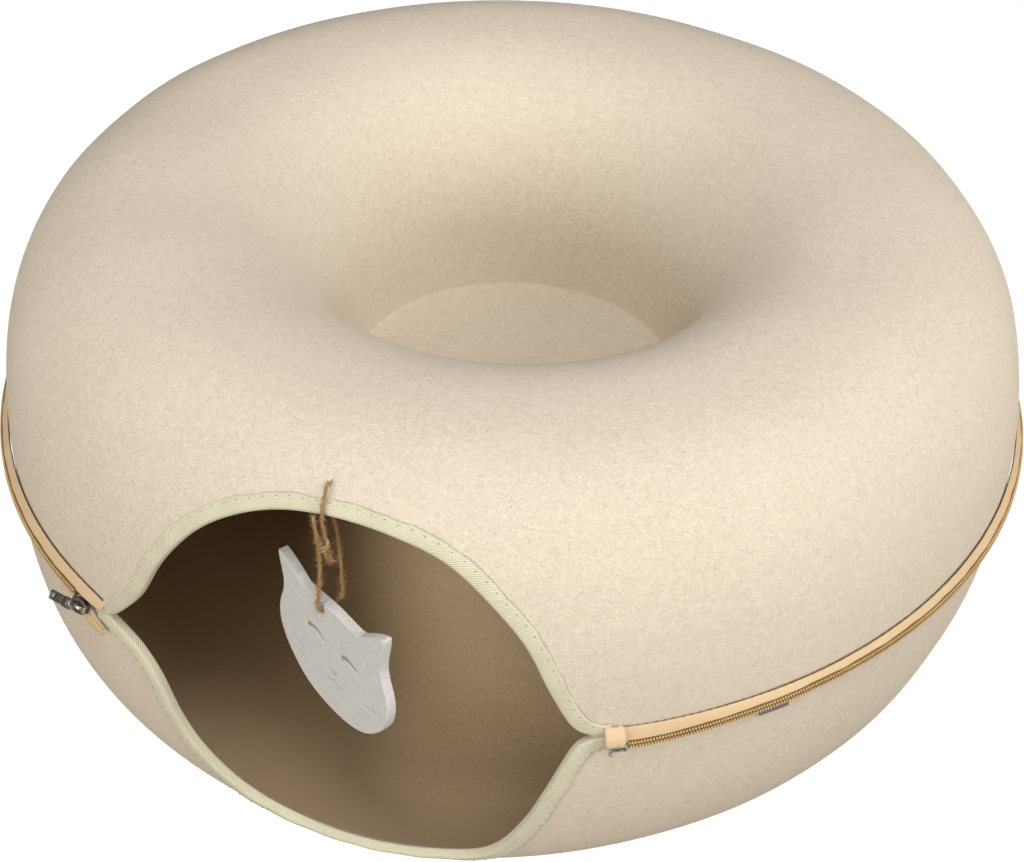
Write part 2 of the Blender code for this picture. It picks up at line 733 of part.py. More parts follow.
def main():
    clear_scene()
    scene = bpy.context.scene
    cave = bpy.data.collections.new("felt_cat_cave")
    helpers = bpy.data.collections.new("cutters")
    scene.collection.children.link(cave)
    scene.collection.children.link(helpers)

    felt = make_material("felt_sand", (0.68, 0.58, 0.46), 0.95)
    tape = make_material("twill_cream", (0.66, 0.66, 0.50), 0.90)
    apricot = make_material("tape_apricot", (0.78, 0.58, 0.32), 0.90)
    teeth = make_material("coil_tan", (0.58, 0.40, 0.18), 0.50)
    nickel = make_material("dark_nickel", (0.16, 0.16, 0.15), 0.30, 1.0)
    silver = make_material("silver_metal", (0.62, 0.62, 0.60), 0.30, 1.0)
    ribbon = make_material("ribbon_grey", (0.55, 0.53, 0.58), 0.80)
    white_felt = make_material("felt_white", (0.74, 0.72, 0.68), 0.95)
    jute = make_material("jute", (0.40, 0.25, 0.10), 0.95)

    axis = bpy.data.objects.new("ring_axis", None)
    axis.location = (0.0, AXIS_Y, 0.0)
    cave.objects.link(axis)

    mouth = mouth_cutter(helpers)
    hole = twine_cutter(helpers)
    felt_shell("upper_shell", upper_profile(), (mouth, hole), cave, felt, axis)
    felt_shell("lower_shell", lower_profile(), (mouth,), cave, felt, axis)
    binding("binding_upper", UPPER_EDGE, cave, tape, axis)
    binding("binding_lower", LOWER_EDGE, cave, tape, axis)

    bands = (
        ("zip_guard", GUARD_SECTION, GUARD_START, GUARD_END, apricot),
        ("guard_end", GUARD_END_SECTION, *GUARD_FOLD, apricot),
        ("zip_coil", COIL_SECTION, ZIP_START, ZIP_END, teeth),
        ("zip_tape", TAPE_SECTION, ZIP_START, ZIP_END, apricot),
        ("zip_stop", STOP_SECTION, *STOP, silver),
        ("care_label", LABEL_SECTION, *LABEL, ribbon),
    )
    for name, section, start, end, material in bands:
        add_object(name, sewn_band(name, section, start, end), cave, material, axis)
    zip_slider(cave, helpers, nickel, axis)
    zip_puller(cave, nickel, axis)
    zip_tail(cave, apricot, axis)
    pendant(cave, white_felt, axis)
    twine(cave, jute, axis)


main()
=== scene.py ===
import math

import bmesh
import bpy
import numpy as np
from mathutils import Matrix, Vector


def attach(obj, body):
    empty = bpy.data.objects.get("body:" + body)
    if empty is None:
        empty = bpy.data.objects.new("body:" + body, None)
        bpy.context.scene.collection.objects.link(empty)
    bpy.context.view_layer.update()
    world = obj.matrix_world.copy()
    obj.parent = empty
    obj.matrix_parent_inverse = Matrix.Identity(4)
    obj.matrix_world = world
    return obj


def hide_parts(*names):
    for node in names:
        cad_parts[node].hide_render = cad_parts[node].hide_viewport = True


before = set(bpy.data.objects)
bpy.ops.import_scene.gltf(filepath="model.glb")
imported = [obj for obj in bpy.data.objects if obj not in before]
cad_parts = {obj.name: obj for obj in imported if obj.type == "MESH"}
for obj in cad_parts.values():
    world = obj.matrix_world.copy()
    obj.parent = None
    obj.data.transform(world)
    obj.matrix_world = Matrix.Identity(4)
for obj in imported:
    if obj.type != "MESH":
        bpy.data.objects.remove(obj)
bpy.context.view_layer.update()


def unit(vectors):
    # the same directions, each of length one
    return vectors / np.linalg.norm(vectors, axis=-1, keepdims=True)


# Camera

camera = {
    "place": (0.29371, -0.94726, 0.89997), "turn": 17.4, "down": 39.0425, "side": -0.0176,
    "roll": 1.7814, "lens": 71.06, "sensor": 36.0, "near": 0.05, "far": 60.0,
}


def makeCamera(look):
    # three directions: ahead, right and up, rolled about ahead and turned about Z
    down, side, roll = np.radians([look["down"], look["side"], look["roll"]])
    ahead = np.array([np.sin(side) * np.cos(down), np.cos(side) * np.cos(down), -np.sin(down)])
    right = unit(np.cross(ahead, [0.0, 0.0, 1.0]))
    up = np.cross(right, ahead)
    tiltedRight = np.cos(roll) * right + np.sin(roll) * up
    tiltedUp = -np.sin(roll) * right + np.cos(roll) * up
    axes = Matrix(np.column_stack([tiltedRight, tiltedUp, -ahead]).tolist())
    spin = Matrix.Rotation(math.radians(look["turn"]), 3, "Z")
    data = bpy.data.cameras.new("camera")
    data.lens, data.sensor_width = look["lens"], look["sensor"]
    data.clip_start, data.clip_end = look["near"], look["far"]
    cameraObject = bpy.data.objects.new("camera", data)
    cameraObject.matrix_world = Matrix.Translation(look["place"]) @ (spin @ axes).to_4x4()
    bpy.context.scene.collection.objects.link(cameraObject)
    bpy.context.scene.camera = cameraObject


makeCamera(camera)
print("camera placed")

# The ring's own shape, with the sizes of the solids

ring = {
    "radius": 0.300, "height": 0.2842, "widest": 0.1430, "crest": 0.2003, "power": 2.495,
    "axisY": -0.0100, "well": 0.1021, "floor": 0.1440, "wellPower": 2.433, "fillet": 0.004,
    "felt": 0.0034, "floorGap": 0.0004, "rest": 0.0008, "zip": 0.1471, "upperRim": 0.0028,
    "lowerRim": -0.0030, "lean": (-0.0009, -0.0046), "wave": 0.0035, "waveTurn": math.radians(33.9),
    # the base's bulge, then the radius where it begins and the width over which it grows
    "bulge": (-0.0077, -0.0026), "bulgeFrom": (0.15, 0.05),
    # soft bulges: turn, height, width of the turn, width in height, how far out
    "bulges": [(8.0, 0.034, 13.0, 0.022, 0.0045), (2.0, 0.030, 7.5, 0.022, 0.0030),
                (-47.0, 0.155, 13.0, 0.022, 0.0015)],
    "bulgesFrom": (0.20, 0.03),
    # each place of the entrance's edge is a mean over this reach, its direction is taken over this run
    "edgeReach": 0.008, "edgeRun": 0.012,
}
wallDepth = ring["radius"] - ring["crest"]

upperEdge = [
    (-0.1360, -0.0010), (-0.1310, 0.0036), (-0.1211, 0.0161), (-0.1099, 0.0316), (-0.0948, 0.0609),
    (-0.0715, 0.0885), (-0.0400, 0.1056), (-0.0050, 0.1110), (0.0323, 0.1077), (0.0633, 0.0968),
    (0.0948, 0.0678), (0.1108, 0.0355), (0.1208, 0.0132), (0.1265, 0.0062), (0.1305, 0.0042),
]
lowerEdge = [
    (-0.1385, -0.0024), (-0.1300, -0.0046), (-0.1165, -0.0092), (-0.1028, -0.0245),
    (-0.0920, -0.0500), (-0.0760, -0.0760), (-0.0510, -0.1010), (-0.0155, -0.1150),
    (0.0250, -0.1185), (0.0605, -0.1142), (0.0810, -0.1002), (0.0992, -0.0690),
    (0.1139, -0.0300), (0.1217, -0.0078), (0.1265, 0.0006), (0.1305, 0.0028),
]


def wallReach(z):
    # how high the wall's curve is above its widest circle, or how deep below it
    return np.where(z > ring["widest"], ring["height"] - ring["widest"], ring["widest"])


def outerRadius(z):
    # superellipse round the crest circle
    rise = np.clip(np.abs(z - ring["widest"]) / wallReach(z), 0.0, 1.0)
    return ring["crest"] + wallDepth * (1.0 - rise ** ring["power"]) ** (1.0 / ring["power"])


def wallPoint(across, above, out=0.0):
    # point of the ring's front at (across, above the zip), moved out along the wall's normal
    across, above, out = np.broadcast_arrays(*(np.asarray(v, float) for v in (across, above, out)))
    z = ring["zip"] + above
    radius, reach = outerRadius(z), wallReach(z)
    point = np.stack([across, -np.sqrt(radius**2 - across**2), z], axis=-1)
    level = ((radius - ring["crest"]) / wallDepth) ** (ring["power"] - 1.0) / wallDepth
    lift = np.sign(z - ring["widest"]) * (np.abs(z - ring["widest"]) / reach) ** (ring["power"] - 1.0)
    normal = np.stack([level * point[..., 0] / radius, level * point[..., 1] / radius, lift / reach], -1)
    return point + unit(normal) * out[..., None]


def beyond(radius, start):
    # a share that grows from 0 to 1 over a width from a first radius on
    return np.clip((radius - start[0]) / start[1], 0.0, 1.0)


def settled(points):
    # the top leans forward, the base bulges, the rim waves; then everything moves to the axis
    p = np.array(points, float).reshape(-1, 3)
    azimuth = np.arctan2(p[:, 0], -p[:, 1])
    radius = np.hypot(p[:, 0], p[:, 1])
    above = np.clip((p[:, 2] - ring["widest"]) / (ring["height"] - ring["widest"]), 0.0, 1.0)
    below = np.clip(1.0 - p[:, 2] / ring["widest"], 0.0, 1.0)
    outside = beyond(radius, (ring["well"], ring["radius"] - ring["well"]))
    wave = ring["wave"] * np.sin(2.0 * (azimuth - ring["waveTurn"]))
    bulge = ring["bulge"][0] * np.sin(azimuth) - ring["bulge"][1] * np.cos(azimuth)
    bulge = bulge * below * beyond(radius, ring["bulgeFrom"])
    for turn, height, wide, tall, far in ring["bulges"]:
        gap = (np.degrees(azimuth) - turn + 180.0) % 360.0 - 180.0
        swell = far * np.exp(-0.5 * (gap / wide) ** 2 - 0.5 * ((p[:, 2] - height) / tall) ** 2)
        bulge = bulge + swell * beyond(radius, ring["bulgesFrom"])
    p[:, 0] += ring["lean"][0] * above + bulge * np.sin(azimuth)
    p[:, 1] += ring["lean"][1] * above - bulge * np.cos(azimuth) + ring["axisY"]
    p[:, 2] += wave * outside * (1.0 - np.maximum(above, below))
    return p.reshape(points.shape)


def smoothCurve(points, share=12):
    # Catmull-Rom through the given points
    points = np.array(points, float)
    ends = np.vstack([2 * points[0] - points[1], points, 2 * points[-1] - points[-2]])
    t = np.linspace(0.0, 1.0, share, endpoint=False)[None, :, None]
    a, b, c, d = ends[:-3, None], ends[1:-2, None], ends[2:-1, None], ends[3:, None]
    curve = 0.5 * (2 * b + (c - a) * t + (2 * a - 5 * b + 4 * c - d) * t**2
                   + (3 * b - a - 3 * c + d) * t**3)
    return np.vstack([curve.reshape(-1, points.shape[1]), points[-1:]])


def travelled(curve):
    # length from the start to each point
    steps = np.linalg.norm(np.diff(curve, axis=0), axis=1)
    return np.concatenate([[0.0], np.cumsum(steps)])


def along(curve, places):
    # points at the given lengths from the start
    length = travelled(curve)
    return np.stack([np.interp(places, length, curve[:, k]) for k in range(curve.shape[1])], -1)


def runAt(curve, places, reach):
    # direction between the points just behind and just ahead of each place
    full = travelled(curve)[-1]
    ahead, behind = np.minimum(places + reach, full), np.maximum(places - reach, 0.0)
    return unit(along(curve, ahead) - along(curve, behind))


def edgeStations(edge, count, side):
    # even places along the entrance's edge, with the direction away from the opening
    curve = smoothCurve(edge)
    full = travelled(curve)[-1]
    places = np.linspace(0.0, full, count)
    # each place is the mean of a short stretch, so that the curve has no corners
    reach = np.minimum(ring["edgeReach"], np.minimum(places, full - places))
    curve = np.mean([along(curve, places + share * reach) for share in np.linspace(-1, 1, 9)], axis=0)
    places = np.linspace(0.0, travelled(curve)[-1], count)
    run = runAt(curve, places, ring["edgeRun"])
    return along(curve, places), side * np.stack([-run[:, 1], run[:, 0]], -1)


def wobble(points, size, seed):
    # slow unevenness between -1 and 1: a few sine waves that cross each other
    rng = np.random.default_rng(seed)
    waves = 5
    total = np.zeros(points.shape[:-1])
    for _ in range(waves):
        way = rng.normal(size=3)
        way *= rng.uniform(0.7, 1.5) * 2.0 * math.pi / (size * np.linalg.norm(way))
        total += np.sin(points @ way + rng.uniform(0.0, 6.28))
    return total / waves


# Ways of putting a surface into a mesh


def gridQuads(countU, countV, closedU=False, closedV=False):
    # quads between neighbours of a grid; a closed side joins its last line to its first
    index = np.arange(countU * countV).reshape(countU, countV)
    if closedU:
        index = np.vstack([index, index[:1]])
    if closedV:
        index = np.hstack([index, index[:, :1]])
    return np.stack([index[:-1, :-1], index[1:, :-1], index[1:, 1:], index[:-1, 1:]], -1).reshape(-1, 4)


def plainMesh(name, points, faces):
    mesh = bpy.data.meshes.new(name)
    mesh.from_pydata(np.asarray(points).reshape(-1, 3).tolist(), [], faces)
    mesh.update()
    return mesh


def surfaceMesh(name, points, closedU=False, closedV=False, uv=None, caps=False, attributes=None):
    # a grid of points becomes quads, with caps over its first and last rows if wanted
    countU, countV = points.shape[:2]
    faces = gridQuads(countU, countV, closedU, closedV).tolist()
    if caps:
        faces.append(list(range(countV)))
        faces.append(list(range((countU - 1) * countV, countU * countV))[::-1])
    mesh = plainMesh(name, points, faces)
    if uv is not None:
        full = np.stack([uv[:-1, :-1], uv[1:, :-1], uv[1:, 1:], uv[:-1, 1:]], 2).reshape(-1, 2)
        coordinates = np.zeros((len(mesh.loops), 2), np.float32)
        coordinates[:len(full)] = full
        mesh.uv_layers.new(name="strip").data.foreach_set("uv", coordinates.ravel())
    for key, values in (attributes or {}).items():
        layer = mesh.attributes.new(key, "FLOAT", "POINT")
        layer.data.foreach_set("value", np.asarray(values, np.float32).ravel())
    return mesh


def stripUv(lengths, girths):
    # a strip's own coordinates in metres: along it and round it
    return np.stack(np.broadcast_arrays(lengths[:, None], girths[None]), -1)


def finishMesh(mesh, merge=None, angle=50.0):
    # doubles merged, faces turned outwards, soft shading with creases
    work = bmesh.new()
    work.from_mesh(mesh)
    if merge:
        bmesh.ops.remove_doubles(work, verts=work.verts, dist=merge)
    bmesh.ops.recalc_face_normals(work, faces=work.faces)
    work.to_mesh(mesh)
    work.free()
    mesh.shade_smooth()
    mesh.set_sharp_from_angle(angle=math.radians(angle))
    return mesh


def joinedMesh(name, grids, closedU=False, angle=50.0):
    # several grids in one mesh, each closed round its columns, with caps where its rows end
    work = bmesh.new()
    for grid in grids:
        part = surfaceMesh("part", grid, closedU=closedU, closedV=True, caps=not closedU)
        work.from_mesh(part)
        bpy.data.meshes.remove(part)
    mesh = bpy.data.meshes.new(name)
    work.to_mesh(mesh)
    work.free()
    return finishMesh(mesh, angle=angle)


def addPiece(name, mesh, material, replaced=()):
    piece = bpy.data.objects.new(name, mesh)
    bpy.context.scene.collection.objects.link(piece)
    mesh.materials.clear()
    mesh.materials.append(material)
    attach(piece, "root")
    if replaced:
        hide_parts(*replaced)
    return piece


def pathFrame(path, axis):
    # directions ahead along a path, to its side and square to both
    ahead = unit(np.gradient(path, axis=0))
    side = unit(np.cross(ahead, axis))
    return ahead, side, np.cross(side, ahead)


def tubePoints(path, radius, sides, axis=(1.0, 0.0, 0.0)):
    # circles of the given radius carried along a path, square to it
    _, side, up = pathFrame(path, axis)
    angle = np.linspace(0.0, 2.0 * math.pi, sides, endpoint=False)[None, :, None]
    circle = side[:, None] * np.cos(angle) + up[:, None] * np.sin(angle)
    return path[:, None] + circle * np.asarray(radius, float).reshape(-1, 1, 1)


def manyCopies(name, shape, faces, centres, axes):
    # one small shape put at many places, each turned by its own three axes
    placed = centres[:, None] + np.einsum("vk,nkc->nvc", shape, axes)
    offsets = np.arange(len(centres))[:, None, None] * len(shape)
    allFaces = (faces[None] + offsets).reshape(-1, faces.shape[1])
    return finishMesh(plainMesh(name, placed, allFaces.tolist()))


def beadShape(length, width, height, rings=5, sides=6):
    # a pill: circles along its length whose radius falls to nothing at both ends
    s = np.linspace(-1.0, 1.0, rings)[:, None]
    radius = np.clip(1.0 - s**4, 0.03, 1.0) ** 0.5
    angle = np.linspace(0.0, 2.0 * math.pi, sides, endpoint=False)[None]
    points = np.stack(np.broadcast_arrays(
        s * length / 2.0, radius * np.cos(angle) * width / 2.0, radius * np.sin(angle) * height / 2.0), -1)
    return points.reshape(-1, 3), gridQuads(rings, sides, closedV=True)


# Shader groups and materials


def feed(tree, socket, value):
    # a socket takes another node's output or a value of its own
    if isinstance(value, bpy.types.NodeSocket):
        tree.links.new(value, socket)
    else:
        socket.default_value = value


def putNode(tree, kind, inputs=None, **values):
    made = tree.nodes.new(kind)
    for key, value in values.items():
        setattr(made, key, value)
    for key, value in (inputs or {}).items():
        feed(tree, made.inputs[key], value)
    return made


def maths(tree, operation, first, second=0.5, clamp=False):
    inputs = {0: first, 1: second}
    return putNode(tree, "ShaderNodeMath", inputs, operation=operation, use_clamp=clamp).outputs[0]


def times(tree, first, second):
    # product of two values
    return maths(tree, "MULTIPLY", first, second)


def plus(tree, first, second):
    # sum of two values
    return maths(tree, "ADD", first, second)


def newGroup(name, inputs, outputs):
    group = bpy.data.node_groups.new(name, "ShaderNodeTree")
    for key, kind, value in inputs:
        socket = group.interface.new_socket(name=key, in_out="INPUT", socket_type=kind)
        if value is not None:
            socket.default_value = value
    for key, kind in outputs:
        group.interface.new_socket(name=key, in_out="OUTPUT", socket_type=kind)
    return group, group.nodes.new("NodeGroupInput"), group.nodes.new("NodeGroupOutput")


# Felt's fibres: turn and stretch of each layer of ridges, then how sharp and how warped they are, the
# pills' scale, and the shares of both in the height and in the tone

fibreLook = {
    "layers": [((0.3, 0.2, 0.5), (1.0, 0.32, 0.7)), ((1.2, 0.7, 2.1), (0.34, 1.0, 0.6)),
               ((2.2, 1.4, 1.0), (0.7, 0.33, 1.0))],
    "sharp": 9.0, "warp": 0.6, "pills": 0.22, "ridgeHeight": 0.45, "ridgeTone": 0.35, "pillTone": 0.65,
}


def makeFeltFibres():
    # crossed ridges of stretched noise are the matted fibres, a coarse noise is the pilling
    group, source, result = newGroup(
        "feltFibres",
        [("Vector", "NodeSocketVector", None), ("Fineness", "NodeSocketFloat", 900.0)],
        [("Height", "NodeSocketFloat"), ("Tone", "NodeSocketFloat")],
    )
    scaled = putNode(group, "ShaderNodeVectorMath", {
        0: source.outputs["Vector"], "Scale": source.outputs["Fineness"]}, operation="SCALE")
    ridges = None
    for turn, stretch in fibreLook["layers"]:
        turned = putNode(group, "ShaderNodeMapping", {"Vector": scaled.outputs[0], "Rotation": turn,
                                                      "Scale": stretch})
        noise = putNode(group, "ShaderNodeTexNoise", {"Vector": turned.outputs[0], "Scale": 1.0,
                                                      "Detail": 2.0, "Distortion": fibreLook["warp"]})
        away = maths(group, "ABSOLUTE", maths(group, "SUBTRACT", noise.outputs[0], 0.5))
        ridge = maths(group, "SUBTRACT", 1.0, times(group, away, fibreLook["sharp"]), clamp=True)
        ridges = ridge if ridges is None else maths(group, "MAXIMUM", ridges, ridge)
    pills = putNode(group, "ShaderNodeTexNoise", {
        "Vector": scaled.outputs[0], "Scale": fibreLook["pills"], "Detail": 4.0, "Roughness": 0.6}).outputs[0]
    feed(group, result.inputs["Height"], plus(group, times(group, ridges, fibreLook["ridgeHeight"]), pills))
    tone = times(group, ridges, fibreLook["ridgeTone"])
    feed(group, result.inputs["Tone"], plus(group, tone, times(group, pills, fibreLook["pillTone"])))
    return group


def makeSlowMottle():
    # broad patches of slightly other tone
    group, source, result = newGroup(
        "slowMottle",
        [("Vector", "NodeSocketVector", None), ("Patches", "NodeSocketFloat", 22.0)],
        [("Tone", "NodeSocketFloat")],
    )
    noise = putNode(group, "ShaderNodeTexNoise", {"Vector": source.outputs["Vector"],
                                                  "Scale": source.outputs["Patches"], "Detail": 5.0,
                                                  "Roughness": 0.62})
    spread = putNode(group, "ShaderNodeMapRange", {"Value": noise.outputs[0], "From Min": 0.3,
                                                   "From Max": 0.7})
    feed(group, result.inputs["Tone"], spread.outputs[0])
    return group


# Weave: scale and reach of the noise that shakes the ribs, and how deep their threads are cut

weaveLook = {"shakeScale": 300.0, "shake": 0.0004, "strandDepth": 0.14}


def makeRibWeave():
    # slanted ribs from a sine across them, broken into threads by a finer sine along them
    group, source, result = newGroup(
        "ribWeave",
        [("Vector", "NodeSocketVector", None), ("Pitch", "NodeSocketFloat", 0.0013),
         ("Slant", "NodeSocketFloat", 0.9), ("Thread", "NodeSocketFloat", 0.0007)],
        [("Height", "NodeSocketFloat"), ("Groove", "NodeSocketFloat")],
    )
    x, y, _ = putNode(group, "ShaderNodeSeparateXYZ", {0: source.outputs["Vector"]}).outputs
    shake = putNode(group, "ShaderNodeTexNoise", {
        "Vector": source.outputs["Vector"], "Scale": weaveLook["shakeScale"], "Detail": 2.0}).outputs[0]
    cosine = maths(group, "COSINE", source.outputs["Slant"])
    sine = maths(group, "SINE", source.outputs["Slant"])
    over = plus(group, times(group, x, cosine), times(group, y, sine))
    down = maths(group, "SUBTRACT", times(group, y, cosine), times(group, x, sine))
    shaken = plus(group, over, times(group, shake, weaveLook["shake"]))
    waves = []
    for way, pitch in ((shaken, "Pitch"), (down, "Thread")):
        turns = maths(group, "DIVIDE", way, source.outputs[pitch])
        waves.append(maths(group, "SINE", times(group, turns, 2.0 * math.pi)))
    rib = plus(group, times(group, waves[0], 0.5), 0.5)
    strand = plus(group, times(group, waves[1], weaveLook["strandDepth"]), 1.0 - weaveLook["strandDepth"])
    feed(group, result.inputs["Height"], times(group, rib, strand))
    # how deep in a groove a place lies, which the materials darken as painted shade
    groove = maths(group, "POWER", maths(group, "SUBTRACT", 1.0, rib, clamp=True), 2.0)
    feed(group, result.inputs["Groove"], groove)
    return group


feltFibres, slowMottle, ribWeave = makeFeltFibres(), makeSlowMottle(), makeRibWeave()


def newMaterial(name, inputs):
    material = bpy.data.materials.new(name)
    material.use_nodes = True
    tree = material.node_tree
    shader = tree.nodes["Principled BSDF"]
    for key, value in inputs.items():
        feed(tree, shader.inputs[key], value)
    return material, tree, shader


def usedGroup(tree, group, vector, **values):
    return putNode(tree, "ShaderNodeGroup", {"Vector": vector, **values}, node_tree=group)


def mixColors(tree, factor, first, second):
    # sockets 0, 6 and 7 are a colour mix's factor and its two colours, output 2 its result
    first, second = ((*v, 1.0) if isinstance(v, tuple) else v for v in (first, second))
    return putNode(tree, "ShaderNodeMix", {0: factor, 6: first, 7: second}, data_type="RGBA").outputs[2]


def addBump(tree, shader, height, distance, strength=1.0):
    bump = putNode(tree, "ShaderNodeBump", {"Strength": strength, "Distance": distance, "Height": height})
    feed(tree, shader.inputs["Normal"], bump.outputs[0])


def feltMaterial(name, look):
    material, tree, shader = newMaterial(name, {
        "Roughness": look["roughness"], "Sheen Weight": look["sheen"], "Sheen Roughness": 0.6,
        "Specular IOR Level": 0.15})
    place = putNode(tree, "ShaderNodeTexCoord").outputs["Object"]
    fibres = usedGroup(tree, feltFibres, place, Fineness=look["fineness"])
    mottle = usedGroup(tree, slowMottle, place, Patches=look["patches"])
    base = mixColors(tree, mottle.outputs["Tone"], look["deep"], look["pale"])
    tone = putNode(tree, "ShaderNodeMapRange", {"Value": fibres.outputs["Tone"], "From Min": 0.25,
                                                "From Max": 0.75, "To Min": 0.0, "To Max": 1.0})
    base = mixColors(tree, tone.outputs[0], base, look["fibre"])
    if "innerShade" in look:
        # the shell's inner face is painted a warmer, deeper tone: painted shade for the dim light inside the
        # tunnel
        inner = putNode(tree, "ShaderNodeAttribute", attribute_name="inner").outputs["Fac"]
        base = mixColors(tree, inner, base, look["innerShade"])
    feed(tree, shader.inputs["Base Color"], base)
    addBump(tree, shader, fibres.outputs["Height"], look["relief"], 0.9)
    return material


def tapeMaterial(name, look, vectorFrom="UV"):
    material, tree, shader = newMaterial(name, {
        "Roughness": look["roughness"], "Sheen Weight": 0.15, "Specular IOR Level": 0.25})
    place = putNode(tree, "ShaderNodeTexCoord").outputs[vectorFrom]
    solid = putNode(tree, "ShaderNodeTexCoord").outputs["Object"]
    weave = usedGroup(tree, ribWeave, place, Pitch=look["pitch"], Slant=look["slant"],
                      Thread=look["thread"])
    mottle = usedGroup(tree, slowMottle, solid, Patches=60.0)
    base = mixColors(tree, mottle.outputs["Tone"], look["deep"], look["pale"])
    # the grooves between the ribs take a darker colour: painted shade in the weave's hollows
    base = mixColors(tree, weave.outputs["Groove"], base, look["groove"])
    feed(tree, shader.inputs["Base Color"], base)
    addBump(tree, shader, weave.outputs["Height"], look["relief"])
    return material


# Metal: how far its patches of painted highlights take the roughness down and up, and the scale, relief and
# strength of its grain

metalGlintsAndGrain = {"smoother": 0.08, "rougher": 0.12, "grain": 2500.0, "relief": 0.00004, "strength": 0.6}


def metalMaterial(name, look):
    material, tree, shader = newMaterial(name, {"Metallic": 1.0})
    place = putNode(tree, "ShaderNodeTexCoord").outputs["Object"]
    glintPatches = usedGroup(tree, slowMottle, place, Patches=look["patches"])
    # lighter patches at random places on the metal stand in for glints: painted highlights
    base = mixColors(tree, glintPatches.outputs["Tone"], look["deep"], look["pale"])
    feed(tree, shader.inputs["Base Color"], base)
    rough = putNode(tree, "ShaderNodeMapRange", {
        "Value": glintPatches.outputs["Tone"], "To Min": look["roughness"] - metalGlintsAndGrain["smoother"],
        "To Max": look["roughness"] + metalGlintsAndGrain["rougher"]})
    feed(tree, shader.inputs["Roughness"], rough.outputs[0])
    grain = putNode(tree, "ShaderNodeTexNoise", {"Vector": place, "Scale": metalGlintsAndGrain["grain"], "Detail": 3.0})
    addBump(tree, shader, grain.outputs[0], metalGlintsAndGrain["relief"], metalGlintsAndGrain["strength"])
    return material


threadTan = tapeMaterial("threadTan", {
    "roughness": 0.8, "pitch": 0.0003, "slant": 0.7, "thread": 0.0003, "relief": 0.00004,
    "deep": (0.30, 0.20, 0.10), "pale": (0.38, 0.26, 0.14), "groove": (0.22, 0.14, 0.07),
}, "Object")
feltSand = feltMaterial("feltSand", {
    "roughness": 0.95, "fineness": 1150.0, "patches": 16.0, "sheen": 0.06, "relief": 0.00042,
    "deep": (0.625, 0.528, 0.400), "pale": (0.665, 0.569, 0.440), "fibre": (0.77, 0.670, 0.528),
    # the inner face's warmer, deeper tone is painted shade
    "innerShade": (0.655, 0.485, 0.290),
})
feltWhite = feltMaterial("feltWhite", {
    "roughness": 0.95, "fineness": 1100.0, "patches": 60.0, "sheen": 0.08, "relief": 0.0005,
    "deep": (0.625, 0.605, 0.560), "pale": (0.67, 0.65, 0.605), "fibre": (0.72, 0.70, 0.66),
})
twillCream = tapeMaterial("twillCream", {
    "roughness": 0.85, "pitch": 0.0011, "slant": 0.85, "thread": 0.0007, "relief": 0.00022,
    "deep": (0.71, 0.67, 0.50), "pale": (0.77, 0.73, 0.56), "groove": (0.50, 0.46, 0.295),
})
tapeApricot = tapeMaterial("tapeApricot", {
    "roughness": 0.6, "pitch": 0.0007, "slant": 0.3, "thread": 0.0007, "relief": 0.00003,
    "deep": (0.64, 0.455, 0.260), "pale": (0.70, 0.515, 0.310), "groove": (0.57, 0.395, 0.215),
})
tapeEnd = tapeMaterial("tapeEnd", {
    "roughness": 0.6, "pitch": 0.0009, "slant": 0.3, "thread": 0.0007, "relief": 0.00004,
    "deep": (0.68, 0.495, 0.295), "pale": (0.74, 0.555, 0.345), "groove": (0.62, 0.44, 0.25),
})
tailTape = tapeMaterial("tailTape", {
    "roughness": 0.8, "pitch": 0.0013, "slant": 0.75, "thread": 0.0007, "relief": 0.00022,
    "deep": (0.66, 0.45, 0.20), "pale": (0.76, 0.54, 0.27), "groove": (0.42, 0.25, 0.09),
})
coilTan = tapeMaterial("coilTan", {
    "roughness": 0.4, "pitch": 0.0006, "slant": 1.57, "thread": 0.0010, "relief": 0.00003,
    "deep": (0.62, 0.41, 0.17), "pale": (0.74, 0.52, 0.25), "groove": (0.56, 0.36, 0.15),
}, "Object")
coilShade = tapeMaterial("coilShade", {
    "roughness": 0.7, "pitch": 0.0005, "slant": 0.5, "thread": 0.0005, "relief": 0.00004,
    "deep": (0.20, 0.11, 0.035), "pale": (0.26, 0.15, 0.05), "groove": (0.14, 0.07, 0.02),
}, "Object")
threadBrown = tapeMaterial("threadBrown", {
    "roughness": 0.8, "pitch": 0.0003, "slant": 0.7, "thread": 0.0003, "relief": 0.00004,
    "deep": (0.15, 0.085, 0.03), "pale": (0.21, 0.12, 0.045), "groove": (0.10, 0.055, 0.02),
}, "Object")
# the label's own grey, made darker as painted shade for the shadow it lies in
labelGreyShaded = tapeMaterial("labelGreyShaded", {
    "roughness": 0.6, "pitch": 0.0004, "slant": 0.0, "thread": 0.0004, "relief": 0.00005,
    "deep": (0.17, 0.15, 0.17), "pale": (0.21, 0.19, 0.21), "groove": (0.12, 0.10, 0.12),
}, "Object")
darkNickel = metalMaterial("darkNickel", {
    "roughness": 0.26, "patches": 420.0, "deep": (0.22, 0.205, 0.18), "pale": (0.50, 0.47, 0.42),
})
silverMetal = metalMaterial("silverMetal", {
    "roughness": 0.25, "patches": 400.0, "deep": (0.36, 0.37, 0.37), "pale": (0.62, 0.63, 0.62),
})
# dark colours for the cut lines: painted shade in the cuts of the white felt
eyeCutShade = feltMaterial("eyeCutShade", {
    "roughness": 0.95, "fineness": 1500.0, "patches": 300.0, "sheen": 0.05, "relief": 0.0002,
    "deep": (0.24, 0.205, 0.155), "pale": (0.30, 0.26, 0.20), "fibre": (0.35, 0.31, 0.25),
})
markCutShade = feltMaterial("markCutShade", {
    "roughness": 0.95, "fineness": 1500.0, "patches": 300.0, "sheen": 0.05, "relief": 0.0002,
    "deep": (0.40, 0.36, 0.29), "pale": (0.46, 0.42, 0.35), "fibre": (0.50, 0.46, 0.40),
})


